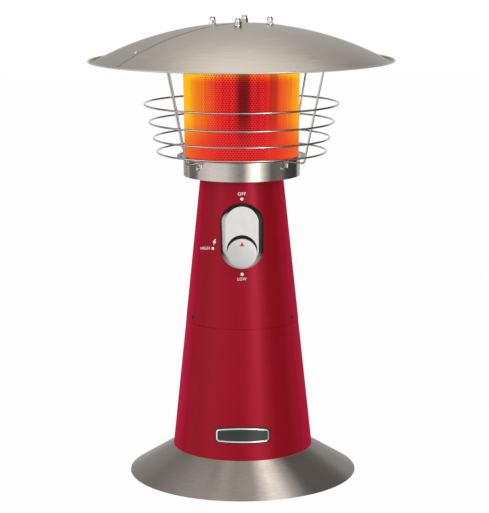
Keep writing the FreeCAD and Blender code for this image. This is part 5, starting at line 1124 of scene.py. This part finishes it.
def rounded_box(half_width, half_height, corner, steps=10):
    """Quarter circles at four centres, filled in along the straights; and the outward direction."""
    quarter = np.linspace(0.0, np.pi / 2.0, steps)
    angle = np.concatenate([quarter + k * np.pi / 2.0 for k in range(4)])
    centre_x = np.repeat([1.0, -1.0, -1.0, 1.0], steps) * (half_width - corner)
    centre_z = np.repeat([1.0, 1.0, -1.0, -1.0], steps) * (half_height - corner)
    sides = np.stack([np.cos(angle), np.sin(angle)], -1)
    path = np.stack([centre_x, centre_z], -1) + corner * sides
    following = np.roll(path, -1, 0)
    extra = np.maximum((np.linalg.norm(following - path, axis=1) / PATH_STEP).astype(int), 1)
    blend = np.concatenate([np.arange(count) / count for count in extra])[:, None]
    start = np.repeat(np.arange(len(path)), extra)
    dense = path[start] * (1 - blend) + following[start] * blend
    out = sides[start] * (1 - blend) + np.roll(sides, -1, 0)[start] * blend
    return dense, out / np.linalg.norm(out, axis=1, keepdims=True)


print("cone from", housing_radius(HOUSING_FOOT_LEVEL), "to", housing_radius(HOUSING_TOP_LEVEL))

# %% [markdown]
# The nameplate is bare: a bright raised rim round a dark field, with a thin black border. It is a
# rounded rectangle whose long sides bow outwards. The rim and the border are one small section
# each, carried round that path.

# %% Nameplate rim and border
PLATE_LEVEL = 68.9 * MM
PLATE_DRAW = 0.20
PLATE_SAG = 1.3 * MM
RIM_SECTION = ((-1.0, 0.2), (-1.0, 1.8), (-0.75, 2.1), (0.75, 2.1), (1.0, 1.8), (1.0, 0.2))
BORDER_SECTION = ((-0.7, 0.15), (-0.7, 1.2), (0.5, 1.2), (0.7, 0.95), (0.7, 0.15))


def bowed_box(half_width, half_height, corner):
    """A rounded rectangle with its ends drawn in and lowered by the square of the place along it."""
    path, out = rounded_box(half_width, half_height, corner)
    square = (path[:, 0] / half_width) ** 2
    return np.stack([path[:, 0], path[:, 1] * (1.0 - PLATE_DRAW * square) - PLATE_SAG * square], -1), out


def plate_band(name, half_width, half_height, corner, section, material):
    """A section of (sideways, proud) points carried round the bowed rectangle, as a closed ring."""
    path, out = bowed_box(half_width * MM, half_height * MM, corner * MM)
    section = np.asarray(section) * MM
    across = path[None, :, 0] + section[:, :1] * out[None, :, 0]
    height = PLATE_LEVEL + path[None, :, 1] + section[:, :1] * out[None, :, 1]
    points = laid_on(across, height, section[:, 1:] + across * 0.0)
    faces = grid_faces(len(section), len(path), ring_rows=True)
    return new_piece(name, points, faces, [material], fold=50.0)


rim = plate_band("nameplate_rim", 32.9, 8.4, 3.0, RIM_SECTION, satin_chrome)
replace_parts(rim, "nameplate_rim")
plate_band("nameplate_border", 34.58, 10.08, 4.2, BORDER_SECTION, plate_border)

# %% [markdown]
# The field is the same path shrunk towards its middle in a few steps, so that it follows the cone.
# Its edge rises from the housing and is slightly rounded.

# %% Nameplate field
FIELD_SCALE = np.array([0.0, 1.0, 1.0, 0.97, 0.75, 0.5, 0.25, 0.0])[:, None]
FIELD_PROUD = np.array([0.1, 0.1, 0.9, 1.0, 1.0, 1.0, 1.0, 1.0])[:, None] * MM

path, _ = bowed_box(32.3 * MM, 7.8 * MM, 2.4 * MM)
points = laid_on(FIELD_SCALE * path[:, 0], PLATE_LEVEL + FIELD_SCALE * path[:, 1], FIELD_PROUD)
faces = grid_faces(len(FIELD_SCALE), len(path))
field = new_piece("nameplate_field", points, faces, [plate_field], fold=50.0)
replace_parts(field, "nameplate_insert")

# %% [markdown]
# The knob is a plated cup with a slightly crowned face. Its side and its inside mirror the dark
# recess behind it, so the finish is painted darker behind the face, a painted dark reflection.

# %% Finish of the knob, with its painted dark reflection
KNOB_FRONT = 92.0 * MM
KNOB_EDGE = 1.2 * MM
KNOB_CROWN = 0.6 * MM
KNOB_SHADE = (0.05, 0.05, 0.05)

knob_metal = bare_metal("knob_metal", (0.94, 0.93, 0.92), 0.34, 90.0)
tree, shader, plating = reopen(knob_metal)
rim_front = KNOB_FRONT - KNOB_CROWN
behind_face = spread(tree, own_axes(tree)["Y"], -rim_front, KNOB_EDGE - rim_front)
fill(tree, shader, {
    "Base Color": mix(tree, behind_face, plating, KNOB_SHADE, "MULTIPLY"),
    "Metallic": spread(tree, behind_face, 0.0, 1.0, 0.6, 0.0),
    "Specular IOR Level": spread(tree, behind_face, 0.0, 1.0, 0.5, 0.0),
})
print("face ends", rim_front, "in front of the axis")

# %% [markdown]
# The knob's outline is a shallow parabola for the crown, a quarter circle for the edge, and
# straight walls. It is turned round the knob's own axis, which points to the front.

# %% Knob
KNOB_LEVEL = 304.0 * MM
KNOB_RADIUS = 19.0 * MM
KNOB_BACK = 66.0 * MM
KNOB_WALL = 1.6 * MM
KNOB_FACE_WALL = 2.6 * MM
KNOB_STEPS = 96


def knob_outline():
    """Points of (radius, distance to the front): crown, rounded edge, side, inside and inner face."""
    flat = KNOB_RADIUS - KNOB_EDGE
    crown = np.linspace(0.0, flat, 14)
    roll = np.linspace(0.0, np.pi / 2.0, 6)[1:]
    inner = KNOB_RADIUS - KNOB_WALL
    return np.concatenate([
        np.stack([crown, KNOB_FRONT - KNOB_CROWN * (crown / flat) ** 2], -1),
        np.stack([flat + KNOB_EDGE * np.sin(roll), rim_front - KNOB_EDGE + KNOB_EDGE * np.cos(roll)], -1),
        [[KNOB_RADIUS, KNOB_BACK], [inner, KNOB_BACK], [inner, KNOB_FRONT - KNOB_FACE_WALL],
         [0.0, KNOB_FRONT - KNOB_FACE_WALL]],
    ])


def turned_to_front(outline):
    """An outline turned round the knob's axis: radius times sine across and times cosine up."""
    turn = full_turn(KNOB_STEPS)[None, :]
    radius, out = outline[:, :1], outline[:, 1:] + turn * 0.0
    return np.stack([radius * np.sin(turn), -out, KNOB_LEVEL + radius * np.cos(turn)], -1)


outline = knob_outline()
faces = grid_faces(len(outline), KNOB_STEPS)
knob = new_piece("knob", turned_to_front(outline), faces, [knob_metal], body="knob", fold=35.0)
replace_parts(knob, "knob")

# %% [markdown]
# The triangle is a small moulded prism, set into the face. It stands a hair proud of the crown.

# %% Knob pointer
POINTER_LOW = 9.4 * MM
POINTER_TALL = 5.4 * MM
POINTER_HALF = 3.1 * MM
POINTER_BACK = 91.0 * MM
POINTER_THICK = 0.85 * MM

across = np.array([-POINTER_HALF, POINTER_HALF, 0.0])
level = KNOB_LEVEL + POINTER_LOW + np.array([0.0, 0.0, POINTER_TALL])
backs = np.stack([across, np.full(3, -POINTER_BACK), level], -1)
points = np.concatenate([backs, backs - np.array([0.0, POINTER_THICK, 0.0])])
faces = [[0, 1, 2], [3, 5, 4], [0, 3, 4, 1], [1, 4, 5, 2], [2, 5, 3, 0]]
pointer = new_piece("knob_pointer", points, faces, [pointer_red], body="knob", fold=20.0)
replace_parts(pointer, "knob_pointer")

# %% [markdown]
# The dial is printed in white: OFF at the top, HIGH on the left with a spark sign for lighting,
# and LOW at the bottom, each with a dot. The distance across is measured along the surface here,
# because the print was rolled on.

# %% Printed dots and spark
PRINT_LIFT = 0.02 * MM
PRINT_THICKNESS = 0.06 * MM
DOT_RADIUS = 1.9
SPARK = ((1.0, 3.9), (-2.6, -0.7), (-0.2, -0.7), (-1.1, -3.9), (2.9, 0.7), (0.5, 0.7), (2.5, 3.9))


def rolled_on(across, up, proud, azimuth, height):
    """Points measured along the surface from an azimuth in degrees and a height in millimetres."""
    level = height * MM + up
    angle = math.radians(azimuth) + across / housing_radius(height * MM)
    return around(housing_radius(level) + proud, angle, level)


def print_shape(name, outline, azimuth, height):
    """A flat outline in millimetres, rolled on twice, the second time proud by the ink's thickness."""
    outline = np.asarray(outline, float) * MM
    count = len(outline)
    points = np.concatenate([rolled_on(outline[:, 0], outline[:, 1], proud, azimuth, height)
                             for proud in (PRINT_LIFT, PRINT_LIFT + PRINT_THICKNESS)])
    faces = [list(range(count)), list(range(count, 2 * count))[::-1]]
    faces += [[k, (k + 1) % count, (k + 1) % count + count, k + count] for k in range(count)]
    return new_piece(name, points, faces, [print_white], fold=20.0)


dot = np.stack([np.cos(full_turn(28)), np.sin(full_turn(28))], -1) * DOT_RADIUS
print_shape("dial_dot_off", dot, 0.0, 367.3)
print_shape("dial_dot_high", dot, -36.3, 303.5)
print_shape("dial_dot_low", dot, 0.0, 272.9)
print_shape("dial_spark", SPARK, -34.8, 311.6)

# %% [markdown]
# A word is a text curve made into a mesh, measured, scaled to its printed size, and rolled on in
# the same way. HIGH was printed along a line that climbs a little.

# %% Printed words
WORD_TALL = 3.9 * MM


def print_word(name, word, azimuth, height, wide, climb=0.0):
    """A word as a mesh: its shares along, up and through, times its printed size."""
    text = bpy.data.curves.new(name, "FONT")
    text.body = word
    text.resolution_u = 3
    text.space_character = 1.12
    text.extrude = 0.02
    text.offset = 0.003
    holder = bpy.data.objects.new(name + "_flat", text)
    scene.collection.objects.link(holder)
    bpy.context.view_layer.update()
    flat = bpy.data.meshes.new_from_object(holder.evaluated_get(bpy.context.evaluated_depsgraph_get()))
    bpy.data.objects.remove(holder)
    place = np.empty(len(flat.vertices) * 3)
    flat.vertices.foreach_get("co", place)
    place = place.reshape(-1, 3)
    along, up, through = ((place - place.min(0)) / (place.max(0) - place.min(0))).T
    lift = (up - 0.5) * WORD_TALL + (along - 0.5) * climb * MM
    proud = PRINT_LIFT + through * PRINT_THICKNESS
    points = rolled_on((along - 0.5) * wide * MM, lift, proud, azimuth, height)
    faces = [list(face.vertices) for face in flat.polygons]
    return new_piece(name, points, faces, [print_white], fold=20.0)


print_word("dial_word_off", "OFF", 0.0, 373.7, 10.2)
print_word("dial_word_low", "LOW", 0.0, 266.9, 11.2)
print_word("dial_word_high", "HIGH", -49.3, 302.0, 17.5, 2.6)

# %% Last update of the scene
bpy.context.view_layer.update()
